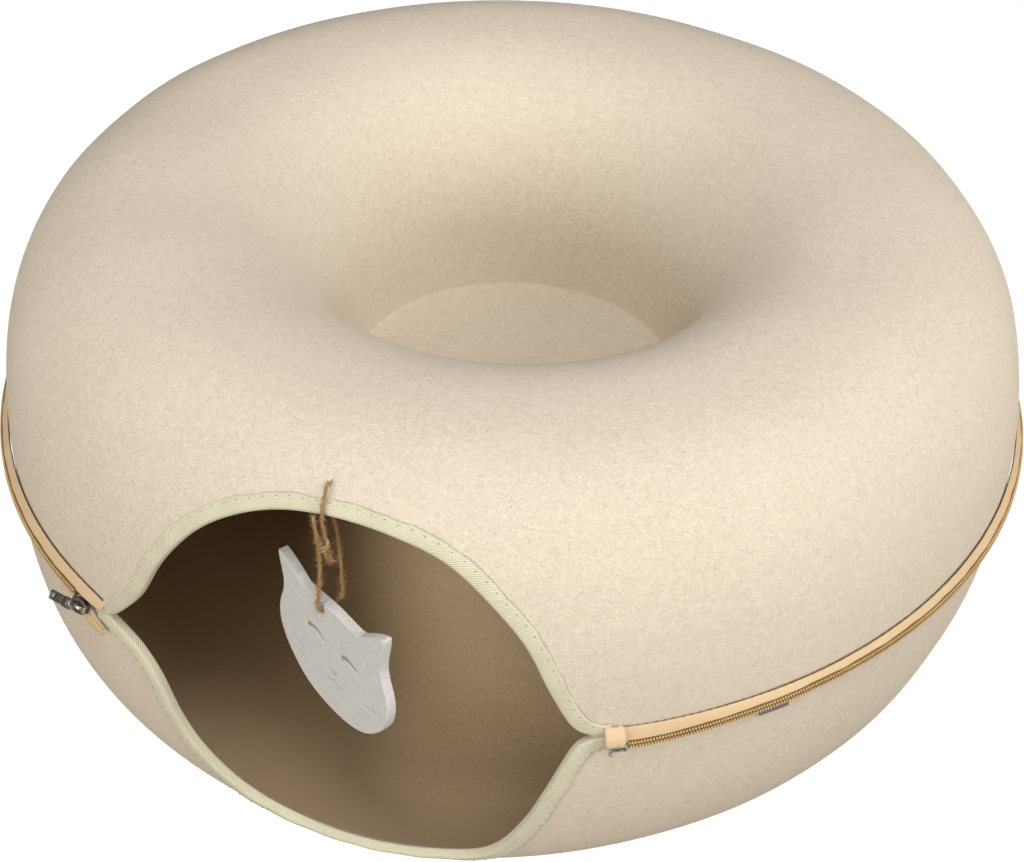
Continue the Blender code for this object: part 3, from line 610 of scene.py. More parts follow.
def juteMaterial(name, look):
    material, tree, shader = newMaterial(name, {"Roughness": look["roughness"], "Specular IOR Level": 0.2})
    place = putNode(tree, "ShaderNodeTexCoord").outputs["Object"]
    hairs = usedGroup(tree, feltFibres, place, Fineness=look["fineness"])
    mottle = usedGroup(tree, slowMottle, place, Patches=look["patches"])
    base = mixColors(tree, mottle.outputs["Tone"], look["deep"], look["pale"])
    base = mixColors(tree, hairs.outputs["Tone"], base, look["fibre"])
    feed(tree, shader.inputs["Base Color"], base)
    addBump(tree, shader, hairs.outputs["Height"], look["relief"])
    return material


jute = juteMaterial("jute", {
    "roughness": 0.9, "fineness": 2600.0, "patches": 260.0, "relief": 0.00025,
    "deep": (0.28, 0.150, 0.058), "pale": (0.46, 0.27, 0.110), "fibre": (0.57, 0.36, 0.165),
})
print("materials made")

# Twine: two strands twisted along the route, a knot and loose hairs

twine = {
    "diameter": 0.0017, "lay": 0.0056, "strand": 0.00040, "offset": 0.00036, "step": 0.0004,
    "sides": 9, "endFade": 0.0008,
    "hairs": 1700, "hair": 0.0046, "hairThick": 0.00019, "knotHairs": 320, "tassel": 70,
    "knotTurns": 2.35, "knotWide": (0.0020, 0.0004), "knotTall": 0.0046, "knotSlant": 0.0011,
    "knotSpread": 0.0035, "hairRun": 0.001, "hairOut": 0.0005, "tasselAt": (0.0012, 0.0, -0.001),
    "tasselSpread": 0.0011, "tasselWay": (0.22, 0.0, -1.0), "tasselTurn": 0.20, "tasselLonger": 2.1,
    "route": [
        (-0.0114, -0.2778, 0.2596), (-0.0099, -0.2783, 0.2500), (-0.0084, -0.2787, 0.2417),
        (-0.0082, -0.2795, 0.2280), (-0.0089, -0.2803, 0.2120), (-0.0100, -0.2802, 0.2020),
        (-0.0092, -0.2782, 0.1982), (-0.0075, -0.2751, 0.1979), (-0.0051, -0.2711, 0.1984),
        (-0.0022, -0.2693, 0.2018), (-0.0012, -0.2690, 0.2075), (-0.0026, -0.2672, 0.2280),
        (-0.0048, -0.2656, 0.2450), (-0.0068, -0.2650, 0.2530), (-0.0080, -0.2624, 0.2568),
        (-0.0085, -0.2589, 0.2598), (-0.0085, -0.2579, 0.2620), (-0.0086, -0.2592, 0.2643),
        (-0.0087, -0.2622, 0.2682), (-0.0088, -0.2640, 0.2698), (-0.0087, -0.2664, 0.2691),
        (-0.0085, -0.2694, 0.2660), (-0.0082, -0.2730, 0.2629), (-0.0077, -0.2754, 0.2572),
        (-0.0066, -0.2756, 0.2480), (-0.0058, -0.2757, 0.2410), (-0.0036, -0.2768, 0.2335),
    ],
    "knot": (-0.0070, -0.2776, 0.2413), "hole": (-0.0087, -0.2622, 0.2682),
}


def strandTubes(path, axis, tapered):
    # each of two strands is a helix round the path, and a thinner tube is carried along it
    length = travelled(path)
    _, side, up = pathFrame(path, axis)
    tubes = []
    for start in (0.0, math.pi):
        turn = (2.0 * math.pi * length / twine["lay"] + start)[:, None]
        centre = path + twine["offset"] * (side * np.cos(turn) + up * np.sin(turn))
        size = np.full(len(path), twine["strand"])
        if tapered:
            fade = np.clip(np.minimum(length, length[-1] - length) / twine["endFade"], 0.35, 1.0)
            size = size * fade * (1.0 + 0.10 * np.sin(length * 2100.0 + start))
        tubes.append(tubePoints(centre, size, twine["sides"], axis))
    return tubes


def knotPath(middle):
    # a double turn round both passes, closed by a slanted crossing
    t = np.linspace(0.0, 1.0, 150)
    turn = 2.0 * math.pi * twine["knotTurns"] * t
    wide = twine["knotWide"][0] + twine["knotWide"][1] * np.sin(math.pi * t)
    rise = (t - 0.5) * twine["knotTall"] + twine["knotSlant"] * np.sin(turn + 0.6)
    return middle + np.stack([wide * 1.15 * np.cos(turn), wide * np.sin(turn) + 0.0003, rise], -1)


def hairMesh(curve, path, middle):
    # loose hairs: thin curved spikes that leave the strands, a share of them near the knot and the end
    rng = np.random.default_rng(11)
    count, tassel = twine["hairs"], twine["tassel"]
    full = travelled(curve)[-1]
    at = rng.uniform(0.0, full, count)
    knots = np.array([np.argmin(np.linalg.norm(path - middle, axis=-1)) * full / len(path), full])
    at[:twine["knotHairs"]] = np.clip(rng.choice(knots, twine["knotHairs"])
                                      + rng.normal(0.0, twine["knotSpread"], twine["knotHairs"]), 0.0, full)
    root = along(curve, at)
    ahead = runAt(curve, at, twine["hairRun"])
    away = rng.normal(size=(count, 3))
    away = unit(away - ahead * np.sum(away * ahead, -1, keepdims=True))
    sign = rng.choice([-1.0, 1.0], count)[:, None]
    length = twine["hair"] * rng.uniform(0.35, 1.0, count)[:, None]
    # the first of them hang from the knot as a loose tassel
    hang = slice(0, tassel)
    root[hang] = middle + rng.normal(0.0, twine["tasselSpread"], (tassel, 3)) + twine["tasselAt"]
    ahead[hang] = twine["tasselWay"] + rng.normal(0.0, twine["tasselTurn"], (tassel, 3))
    sign[hang] = 1.0
    length[hang] *= twine["tasselLonger"]
    away[hang] *= 0.5
    # spines of four points that bend away from the strand, with a triangle round each point
    s = np.linspace(0.0, 1.0, 4)
    curl = rng.uniform(0.15, 1.0, (count, 1))
    straight = (ahead * sign * length * (1.0 - 0.65 * curl))[:, None] * s[None, :, None]
    bent = (away * length * curl)[:, None] * (s**1.4)[None, :, None]
    spine = (root + away * twine["hairOut"])[:, None] + straight + bent
    across = np.cross(ahead, away)
    thick = twine["hairThick"] * (1.0 - 0.8 * s)
    angle = np.array([0.0, 2.1, 4.2])[None, :, None]
    circle = across[:, None] * np.cos(angle) + away[:, None] * np.sin(angle)
    points = spine[:, :, None] + circle[:, None] * thick[None, :, None, None]
    quads = gridQuads(4, 3, closedV=True)
    faces = (quads[None] + np.arange(count)[:, None, None] * 12).reshape(-1, 4)
    return finishMesh(plainMesh("twine_hairs", points, faces.tolist()))


def makeTwine():
    shift = np.array([0.0, ring["axisY"], 0.0])
    curve = smoothCurve(np.array(twine["route"]) + shift, 24)
    full = travelled(curve)[-1]
    path = along(curve, np.linspace(0.0, full, int(full / twine["step"])))
    middle = np.array(twine["knot"]) + shift
    strands = strandTubes(path, (1.0, 0.0, 0.0), True)
    rope = addPiece("jute_twine", joinedMesh("jute_twine", strands), jute, ("twine",))
    turns = strandTubes(knotPath(middle), (0.0, 0.0, 1.0), False)
    knot = addPiece("twine_knot", joinedMesh("twine_knot", turns), jute)
    hairs = addPiece("twine_hairs", hairMesh(curve, path, middle), jute)
    print("twine made, length", round(full, 4))


makeTwine()

# Felt shells

shells = {
    "front": 200, "back": 230, "frontHalf": 33.0, "floorRows": 9, "filletRows": 4, "wellRows": 26,
    "wallRows": 46, "wellFrom": 0.25, "cutGap": 0.0015, "flat": (0.80, 0.80), "area": 0.50,
    # unevenness and its size, and how close to the zip and to the ground it dies away
    "uneven": 0.0007, "patch": 0.11, "calmZip": 0.03, "calmGround": 0.02,
    # heights tried for the wall's end, the margin they start with, and the stations of the edge
    "tries": 1500, "margin": 0.003, "edgeStations": 300,
}


def mouthHeight(top, x):
    # where the felt ends over or under the entrance, as a height above the zip
    side = 1.0 if top else -1.0
    points, outward = edgeStations(upperEdge if top else lowerEdge, shells["edgeStations"], side)
    points = points + shells["cutGap"] * outward
    order = np.argsort(points[:, 0])
    return np.interp(x, points[order, 0], points[order, 1], left=-side, right=-side)


def shellReach(top):
    # from the widest circle to the shell's highest or lowest place
    return ring["height"] - ring["widest"] if top else ring["widest"] + ring["rest"]


def wallAngle(z, top):
    # parameter of the wall's superellipse at a height, from 0 at the crest
    level = (z - ring["widest"]) / shellReach(top) * (1.0 if top else -1.0)
    return np.arccos(np.sign(level) * np.abs(level) ** (ring["power"] / 2.0))


def wallEnds(azimuth, top):
    # each column of the outer wall stops at the rim or at the entrance's edge
    rim = ring["zip"] + (ring["upperRim"] if top else ring["lowerRim"])
    start = ring["height"] - shells["margin"] if top else shells["margin"]
    heights = np.linspace(start, rim, shells["tries"])
    x = outerRadius(heights)[None] * np.sin(azimuth)[:, None]
    edge = mouthHeight(top, x)
    gone = (heights - ring["zip"] < edge) if top else (heights - ring["zip"] > edge)
    gone &= (np.cos(azimuth) > 0.5)[:, None]
    gone[:, -1] = True
    return heights[np.argmax(gone, axis=1)]


def shellProfile(azimuth, top):
    # radius and height in every column: floor of the well, fillet, wall of the well, outer wall
    side = 1.0 if top else -1.0
    count = (len(azimuth), 1)
    well, fillet, crest = ring["well"], ring["fillet"], ring["crest"]
    floor = ring["floor"] if top else ring["floor"] - 2.0 * ring["felt"] - ring["floorGap"]
    summit = ring["height"] if top else -ring["rest"]
    r = np.linspace(0.0, well - fillet, shells["floorRows"], endpoint=False)
    radii, heights = [np.tile(r, count)], [np.full((len(azimuth), len(r)), floor)]
    a = np.linspace(0.0, math.pi / 2.0, shells["filletRows"], endpoint=False)
    radii.append(np.tile(well - fillet * (1.0 - np.sin(a)), count))
    heights.append(np.tile(floor + side * fillet * (1.0 - np.cos(a)), count))
    a = np.linspace(shells["wellFrom"], math.pi / 2.0, shells["wellRows"], endpoint=False)
    p = 2.0 / ring["wellPower"]
    radii.append(np.tile(crest - (crest - well) * np.cos(a) ** p, count))
    heights.append(np.tile(floor + (summit - floor) * np.sin(a) ** p, count))
    a = np.linspace(0.0, 1.0, shells["wallRows"])[None] * wallAngle(wallEnds(azimuth, top), top)[:, None]
    p = 2.0 / ring["power"]
    radii.append(crest + wallDepth * np.abs(np.sin(a)) ** p)
    heights.append(ring["widest"] + side * shellReach(top) * np.sign(np.cos(a)) * np.abs(np.cos(a)) ** p)
    heights = np.hstack(heights)
    return np.hstack(radii), heights if top else np.maximum(heights, 0.0)


def shellGrid(top):
    # the profile turned round the axis, a little uneven, then its inside at the felt's thickness
    half = shells["frontHalf"]
    front = np.radians(np.linspace(-half, half, shells["front"]))
    back = np.radians(np.linspace(half, 360.0 - half, shells["back"])[1:-1])
    azimuth = np.concatenate([front, back])
    across, ahead = np.sin(azimuth)[:, None], np.cos(azimuth)[:, None]
    radii, heights = shellProfile(azimuth, top)
    side = 1.0 if top else -1.0
    runR, runZ = np.gradient(radii, axis=1), np.gradient(heights, axis=1)
    size = np.hypot(runR, runZ)
    outR, outZ = -side * runZ / size, side * runR / size
    spot = np.stack([radii * across, -radii * ahead, heights], -1)
    uneven = shells["uneven"] * wobble(spot, shells["patch"], 3 if top else 4)
    fade = np.clip(np.abs(heights - ring["zip"]) / shells["calmZip"], 0.0, 1.0)
    fade = fade * np.clip(heights / shells["calmGround"], 0.0, 1.0)
    thick = ring["felt"] - uneven * fade
    outsideR, outsideZ = radii + outR * uneven * fade, heights + outZ * uneven * fade
    insideR, insideZ = radii - outR * thick, heights - outZ * thick
    insideR[:, 0] = 0.0
    outsideR[:, 0] = 0.0
    allR = np.hstack([outsideR, insideR[:, ::-1]])
    points = np.stack([allR * across, -allR * ahead, np.hstack([outsideZ, insideZ[:, ::-1]])], -1)
    # marks the inner face, which the felt's material darkens as painted shade
    inner = np.zeros(points.shape[:2])
    inner[:, radii.shape[1]:] = 1.0
    return settled(points), inner


def makeShell(name, top, replaced):
    points, inner = shellGrid(top)
    mesh = surfaceMesh(name, points, closedU=True, attributes={"inner": inner})
    shell = addPiece(name, finishMesh(mesh, merge=2e-6), feltSand, (replaced,))
    print(name, len(mesh.polygons), "faces")


makeShell("felt_upper", True, "upper_shell")
makeShell("felt_lower", False, "lower_shell")

# Bindings

binding = {
    "tape": 0.0008, "leg": 0.0088, "outerGap": 0.0005, "innerGap": 0.0006, "steps": 420,
    "foldRound": 0.0022, "foldHigh": 0.0018, "hem": 0.0004, "puff": 0.00035, "sunk": 0.00025,
    # slow waves: how far sideways and how often in a metre, then the same away from the felt
    "sway": [(0.00022, 190.0), (0.00014, 431.0)], "lift": (0.00018, 263.0),
    "stitchIn": 0.0070, "stitchPitch": 0.0068, "stitchUp": 0.00012, "stitch": (0.0011, 0.00045, 0.0004),
    "upperEnds": [(-0.1432, -0.0050), (0.1372, 0.0046)],
    "lowerEnds": [(-0.1440, -0.0016), (0.1372, 0.0030)],
    # the tape's flat width, and how far from the fold its lie on the felt is worked out
    "flatWidth": 0.0250, "farthest": 0.0130,
}


def puffAt(share):
    # how far the outer leg swells between its edge and the fold
    return binding["puff"] * np.sin(math.pi * share) ** 0.7


def bindingSection():
    # (into the felt from the fold, out from the felt's face), with round folds
    tape, leg, face, fold = (binding[key] for key in ("tape", "leg", "outerGap", "foldRound"))
    level = face + tape - binding["sunk"]
    deep = -ring["felt"] - binding["innerGap"] - tape
    s = np.linspace(0.0, 1.0, 12)
    outerLeg = np.stack([leg + (fold - leg) * s, level + puffAt(s)], -1)
    outerLeg[0] = (leg, face + tape - binding["hem"])
    a = np.linspace(0.0, math.pi / 2.0, 7)[1:]
    foldTop = np.stack([fold - fold * np.sin(a), level - binding["foldHigh"] * (1 - np.cos(a))], -1)
    foldLow = np.stack([fold - fold * np.cos(a - 0.2), deep + binding["foldHigh"] * (1 - np.sin(a))], -1)
    innerLeg = np.stack([fold + (leg - fold) * s[1:], np.full(11, deep)], -1)
    back = np.array([(leg, deep + tape), (leg / 2, deep + tape), (tape * 1.4, deep + tape),
                     (tape, deep + tape * 1.6), (tape, -0.001), (tape * 1.4, face), (leg / 2, face),
                     (leg, face)])
    return np.vstack([outerLeg, foldTop, foldLow, innerLeg, back])


def shiftedWall(points, outward, seen, out=0.0):
    # wall points that lie some distances away from an edge's stations, as seen from the front
    return wallPoint(points[:, :1] + seen * outward[:, :1], points[:, 1:] + seen * outward[:, 1:], out)


def legReach(points, outward, distances):
    # distances seen from the front that cover the wanted lengths on the felt
    seen = np.linspace(0.0, binding["farthest"], 27)
    lines = shiftedWall(points, outward, seen)
    steps = np.linalg.norm(np.diff(lines, axis=1), axis=-1)
    length = np.hstack([np.zeros((len(points), 1)), np.cumsum(steps, 1)])
    scale = seen[-1] / length[:, -1]
    return distances[None] * scale[:, None]


def bindingSway(length, seed):
    # slow waves along the tape: sideways at its edge, and away from the felt
    (first, often), (second, oftener) = binding["sway"]
    sway = first * np.sin(length * often + seed) + second * np.sin(length * oftener + 2 * seed)
    return sway, binding["lift"][0] * np.sin(length * binding["lift"][1] + seed)


def bindingStitches(name, points, outward, real, seed):
    # small pills along the felt side, at even places on the tape
    length = travelled(points)
    pitch, inset, leg = binding["stitchPitch"], binding["stitchIn"], binding["leg"]
    places = np.interp((np.arange(int(real[-1] / pitch)) + 0.5) * pitch, real, length)
    spot = along(points, places)
    away = unit(along(outward, np.interp(places, length, travelled(outward))))
    sway, lift = bindingSway(places, seed)
    inFrom = legReach(spot, away, np.array([inset]))[:, 0] + sway * (inset / leg)
    across, above = spot[:, 0] + inFrom * away[:, 0], spot[:, 1] + inFrom * away[:, 1]
    level = binding["outerGap"] + binding["tape"] - binding["sunk"] + lift
    level = level + puffAt((leg - inset) / (leg - binding["foldRound"])) + binding["stitchUp"]
    centre = settled(wallPoint(across, above, level))
    step = 0.001
    ahead = unit(settled(wallPoint(across + away[:, 1] * step, above - away[:, 0] * step, level)) - centre)
    rise = unit(settled(wallPoint(across, above, level + step)) - centre)
    axes = np.stack([ahead, np.cross(rise, ahead), rise], 1)
    mesh = manyCopies(name + "_stitches", *beadShape(*binding["stitch"]), centre, axes)
    return addPiece(name + "_stitches", mesh, threadTan)


def makeBinding(name, edge, ends, side, replaced, seed):
    section = bindingSection()
    points, outward = edgeStations([ends[0], *edge, ends[1]], binding["steps"], side)
    seen = legReach(points, outward, section[:, 0])
    sway, lift = bindingSway(travelled(points), seed)
    seen = seen + sway[:, None] * np.clip(section[:, 0] / binding["leg"], 0, 1)[None]
    lift = lift[:, None] * (section[:, 1] > 0)[None]
    grid = shiftedWall(points, outward, seen, section[:, 1][None] + lift)
    real = travelled(wallPoint(points[:, 0], points[:, 1]))
    uv = stripUv(real, travelled(np.vstack([section, section[:1]])))
    mesh = surfaceMesh(name, settled(grid), closedV=True, uv=uv, caps=True)
    piece = addPiece(name, finishMesh(mesh, angle=70.0), twillCream, (replaced,))
    sewn = bindingStitches(name, points, outward, real, seed)


makeBinding("twill_upper", upperEdge, binding["upperEnds"], 1.0, "binding_upper", 1.0)
makeBinding("twill_lower", lowerEdge, binding["lowerEnds"], -1.0, "binding_lower", 2.2)

# Zip

zipper = {
    "teethFrom": 29.25, "teethTo": 328.36, "flapFrom": 28.75, "flapTo": 332.55, "steps": 900,
    # turn, flap's top, how far its free edge stands out and its height, how far the teeth stand out
    "course": [
        (28.0, 0.0092, 0.0044, 0.0022, 0.0049), (31.0, 0.0092, 0.0044, 0.0024, 0.0049),
        (36.0, 0.0094, 0.0044, 0.0042, 0.0048), (40.0, 0.0099, 0.0044, 0.0056, 0.0048),
        (50.0, 0.0099, 0.0044, 0.0073, 0.0048), (60.0, 0.0104, 0.0044, 0.0073, 0.0048),
        (80.0, 0.0100, 0.0046, 0.0062, 0.0050), (180.0, 0.0095, 0.0048, 0.0048, 0.0053),
        (300.0, 0.0083, 0.0050, 0.0036, 0.0057), (328.0, 0.0081, 0.0050, 0.0034, 0.0058),
        (330.5, 0.0078, 0.0046, 0.0030, 0.0056), (332.0, 0.0072, 0.0040, 0.0022, 0.0056),
        (333.2, 0.0058, 0.0032, 0.0012, 0.0050),
    ],
    # the flap's section: (share of the way out, share of the way down) from its top edge
    "flap": [
        (-0.30, 0.10), (-0.12, -0.06), (0.0, 0.0), (0.20, 0.10), (0.45, 0.34), (0.72, 0.66),
        (0.92, 0.90), (1.00, 1.02), (0.97, 1.13), (0.86, 1.14), (0.66, 0.98), (0.36, 0.66),
        (0.05, 0.40), (-0.30, 0.30),
    ],
    # how far the flap's top stands out, its sway, over how many degrees its left end is folded in,
    # and the square of the share of its width that is left there
    "topOut": 0.0014, "sway": 0.00010, "foldOver": 0.8, "foldLeast": 0.2,
    "tape": [(-0.0043, 0.0120), (-0.0043, -0.0120), (-0.0053, -0.0120), (-0.0053, 0.0120)],
    # the core's back, then its front beyond the teeth, and its five heights from the flap's edge
    "coreBack": 0.0012, "coreFront": (-0.0003, -0.0002, 0.0001),
    "coreAbove": (0.0006, 0.0005, -0.0021, -0.0045, -0.0047),
    # rows of teeth: shift in pitches, how far below the flap's edge, how much further out
    "rows": [(0.25, 0.0010, 0.0), (0.75, 0.0033, 0.0004)], "toothPitch": 0.00155,
    "tooth": (0.00128, 0.0012, 0.0018),
    # seam line, partly thread and partly painted shade in the crease: half its thickness, its turns, over how
    # many degrees it grows, how far out and above the flap
    "seam": 0.00032, "seamFrom": 34.0, "seamTo": 332.25, "seamGrows": 12.0, "seamAt": (0.0007, 0.00035),
    "dotPitch": 0.0047, "dot": (0.0011, 0.0009, 0.0008), "dotsTo": 62.0, "dotAt": (0.0008, 0.0005),
}


def sweep(first, last, count):
    # even turns round the rim, in radians
    return np.radians(np.linspace(first, last, count))


def evenTurns(first, last, pitch, shift):
    # turns one pitch apart on the widest circle, the first of them by a share of a pitch
    arc = math.radians(last - first)
    count = int(arc * ring["radius"] / pitch)
    return math.radians(first) + arc * (np.arange(count) + shift) / count


def zipCourse(azimuth):
    # the four measures of the course at any turn round the rim
    table = np.array(zipper["course"])
    turn = np.degrees(azimuth)
    return [np.interp(turn, table[:, 0], table[:, k]) for k in range(1, 5)]


def rimPoints(azimuth, out, above):
    # place at the rim, outwards from the widest circle and above the zip
    radius = ring["radius"] + out
    return settled(np.stack(np.broadcast_arrays(
        radius * np.sin(azimuth), -radius * np.cos(azimuth), ring["zip"] + above), -1))


def addBand(name, azimuth, out, above, material, replaced):
    # a section that may change on its way round the rim
    out, above = np.broadcast_arrays(out, above)
    grid = rimPoints(azimuth[:, None], out, above)
    section = np.stack([out[len(out) // 2], above[len(out) // 2]], -1)
    uv = stripUv(azimuth * ring["radius"], travelled(np.vstack([section, section[:1]])))
    mesh = finishMesh(surfaceMesh(name, grid, closedV=True, uv=uv, caps=True))
    addPiece(name, mesh, material, (replaced,))


def rimAxes(azimuth, tilt=0.0):
    # directions along the rim, outwards with a tilt, and square to both
    ahead = np.stack([np.cos(azimuth), np.sin(azimuth), np.zeros_like(azimuth)], -1)
    out = unit(np.stack([np.sin(azimuth), -np.cos(azimuth), np.full_like(azimuth, tilt)], -1))
    return np.stack([ahead, out, np.cross(ahead, out)], 1)


def makeFlap():
    azimuth = sweep(zipper["flapFrom"], zipper["flapTo"], zipper["steps"])
    top, edgeOut, edge, _ = zipCourse(azimuth)
    # at its left end the section shrinks towards its middle
    left = (zipper["flapTo"] - np.degrees(azimuth)) / zipper["foldOver"]
    least = zipper["foldLeast"]
    fold = np.sqrt(least + (1.0 - least) * np.clip(left, 0.0, 1.0))
    middle = 0.55 * top + 0.45 * edge
    top, edge = middle + (top - middle) * fold, middle + (edge - middle) * fold
    sway = zipper["sway"] * (np.sin(azimuth * 57.0) + 0.6 * np.sin(azimuth * 131.0 + 1.0))
    share = np.array(zipper["flap"])
    topOut = zipper["topOut"]
    out = topOut + share[None, :, 0] * (edgeOut - topOut)[:, None] + sway[:, None]
    above = top[:, None] - share[None, :, 1] * (top - edge)[:, None] + 0.7 * sway[:, None]
    addBand("zip_flap", azimuth, out, above, tapeApricot, "zip_guard")


def makeTapeAndTeeth():
    azimuth = sweep(zipper["teethFrom"], zipper["teethTo"], zipper["steps"])
    _, _, edge, toothOut = zipCourse(azimuth)
    section = np.array(zipper["tape"])
    above = np.repeat(section[None, :, 1], len(azimuth), 0)
    addBand("zip_inner_tape", azimuth, section[None, :, 0], above, tapeApricot, "zip_tape")
    # the dark core behind the teeth: partly the coil's own dark core, partly painted shade under the flap's
    # edge
    back = np.full((len(azimuth), 1), zipper["coreBack"])
    out = np.hstack([back, toothOut[:, None] + zipper["coreFront"], back])
    above = edge[:, None] + zipper["coreAbove"]
    addBand("zip_core_shade", azimuth, out, above, coilShade, "zip_coil")
    # teeth: two rows of beads, half a pitch apart
    centres, axes = [], []
    for shift, below, further in zipper["rows"]:
        azimuth = evenTurns(zipper["teethFrom"], zipper["teethTo"], zipper["toothPitch"], shift)
        _, _, edge, toothOut = zipCourse(azimuth)
        centres.append(rimPoints(azimuth, toothOut + further, edge - below))
        axes.append(rimAxes(azimuth))
    shape, faces = beadShape(*zipper["tooth"], rings=4)
    teeth = manyCopies("zip_teeth", shape, faces, np.vstack(centres), np.vstack(axes))
    addPiece("zip_teeth", teeth, coilTan)


def makeSeamAndCreaseShade():
    # seam line where the flap meets the felt, a dark tube that is partly thread and partly painted shade in
    # the crease, and the dots of its thread near the entrance
    azimuth = sweep(zipper["seamFrom"], zipper["seamTo"], 800)
    top, _, _, _ = zipCourse(azimuth)
    grown = (np.degrees(azimuth) - zipper["seamFrom"]) / zipper["seamGrows"]
    size = zipper["seam"] * np.clip(grown, 0.15, 1.0) * (1.0 + 0.25 * np.sin(azimuth * 311.0))
    out, above = zipper["seamAt"]
    line = tubePoints(rimPoints(azimuth, out, top + above), size, 6, (0.0, 0.0, 1.0))
    addPiece("flap_seam_crease_shade", joinedMesh("flap_seam_crease_shade", [line]), threadBrown)
    azimuth = evenTurns(zipper["flapFrom"], zipper["dotsTo"], zipper["dotPitch"], 0.7)
    top, _, _, _ = zipCourse(azimuth)
    out, above = zipper["dotAt"]
    places = rimPoints(azimuth, out, top + above)
    dots = manyCopies("flap_stitches", *beadShape(*zipper["dot"]), places, rimAxes(azimuth, 1.0))
    addPiece("flap_stitches", dots, threadBrown)


makeFlap()
makeTapeAndTeeth()
makeSeamAndCreaseShade()
print("zip made")

# Flap's end at the right corner

flapEnd = {
    "from": 27.02, "to": 28.90, "stations": 40, "middle": (0.0038, 0.0062),
    # its section, as (out, above)
    "section": [
        (0.0003, 0.0094), (0.0012, 0.0109), (0.0034, 0.0103), (0.0056, 0.0082), (0.0070, 0.0055),
        (0.0074, 0.0030), (0.0066, 0.0014), (0.0050, 0.0014), (0.0036, 0.0040), (0.0016, 0.0068),
    ],
    # both ends are narrower by a share, over a share of the length; swells: how much, where, how wide
    "nearEnd": (0.16, 0.10), "farEnd": (0.20, 0.12),
    "swells": [(0.07, 0.80, 0.07), (-0.05, 0.58, 0.10)],
}


def makeFlapEnd():
    # the flap's end is folded round itself: a short soft sleeve with a ring near its far end
    loop = np.array(flapEnd["section"])
    share = 5
    section = smoothCurve(np.vstack([loop[-1:], loop, loop[:2]]), share)[share:share * (1 + len(loop))]
    t = np.linspace(0.0, 1.0, flapEnd["stations"])
    near, far = flapEnd["nearEnd"], flapEnd["farEnd"]
    size = 1.0 - near[0] * np.clip(1.0 - t / near[1], 0.0, 1.0) ** 2
    size = size - far[0] * np.clip((t - 1.0 + far[1]) / far[1], 0.0, 1.0) ** 2
    for much, where, wide in flapEnd["swells"]:
        size = size + much * np.exp(-((t - where) / wide) ** 2)
    middle = np.array(flapEnd["middle"])
    grid = middle + size[:, None, None] * (section - middle)
    azimuth = np.radians(flapEnd["from"] + (flapEnd["to"] - flapEnd["from"]) * t)
    addBand("flap_end", azimuth, grid[..., 0], grid[..., 1], tapeEnd, "guard_end")


makeFlapEnd()
print("flap's end made")

# Slider, puller, stop and the zip's free end

fittings = {
    "bevel": 0.00028, "around": 48, "taperLength": 0.006,
    # turn, out and above of the middle, then its turn in its own plane and its lean
    "slider": {"at": (329.25, 0.0072, -0.0040), "turn": 4.0, "lean": 0.75},
    "puller": {"at": (326.95, 0.0101, -0.0076), "turn": 14.5, "lean": 0.9},
    "stop": {"at": (28.30, 0.0062, -0.0012), "turn": 0.0, "lean": 0.5},
    # each plate: the outline's width, height and power, how much its right half narrows, its middle;
    # the hole's width, height and power, or its share of the outline, and its middle; thickness; how far out
    "slider_body": [
        ((0.0125, 0.0080, 4.5), 0.22, (0.0, 0.0), (0.0044, 0.0032, 4.0), (-0.0008, 0.0), 0.0014, 0.0),
        ((0.0130, 0.0078, 3.0), 0.30, (0.0, 0.0), 0.12, (0.0, 0.0), 0.0012, -0.0034),
        ((0.0030, 0.0058, 2.4), 0.0, (0.0034, 0.0), 0.1, (0.0030, 0.0), 0.0036, -0.0016),
    ],
    "puller_plate": [
        ((0.0126, 0.0054, 9.0), 0.0, (-0.0042, 0.0), (0.0022, 0.0024, 2.6), (-0.0078, 0.0), 0.0012, 0.0),
        ((0.0084, 0.0062, 5.0), 0.0, (0.0052, 0.0), (0.0034, 0.0030, 3.0), (0.0064, 0.0), 0.0013, 0.0),
    ],
    "stop_bar": [
        ((0.0088, 0.0015, 5.0), 0.0, (0.0, 0.0), (0.0050, 0.0004, 3.0), (0.0010, 0.0002), 0.0012, 0.0),
        ((0.0016, 0.0038, 3.0), 0.0, (-0.0046, -0.0009), 0.1, (-0.0041, -0.0008), 0.0018, 0.0004),
    ],
    "bridge": {"half": 0.0048, "out": 0.0004, "bow": 0.0026, "strap": (0.0022, 0.0011, 3.0)},
    # turn, out and above of the free end's route, then its half width, half thickness and lean
    "tail": [(330.0, 0.0058, -0.0075), (330.5, 0.0054, -0.0095), (331.1, 0.0050, -0.0110),
             (331.7, 0.0044, -0.0127), (332.2, 0.0040, -0.0140), (332.5, 0.0036, -0.0150)],
    "tailHalf": (0.0019, 0.0009), "tailLean": 0.6, "tailGirth": 0.0080,
    # its taper: at the slider, how much wider in its middle, and the share at the end that narrows
    "tailTaper": (0.80, 0.35, 0.10),
}


def roundedShape(width, height, power, count):
    # superellipse round the middle; a high power gives a box with round corners
    a = np.linspace(0.0, 2.0 * math.pi, count, endpoint=False)
    c, s = np.cos(a), np.sin(a)
    return np.stack([width / 2.0 * np.sign(c) * np.abs(c) ** (2.0 / power),
                     height / 2.0 * np.sign(s) * np.abs(s) ** (2.0 / power)], -1)


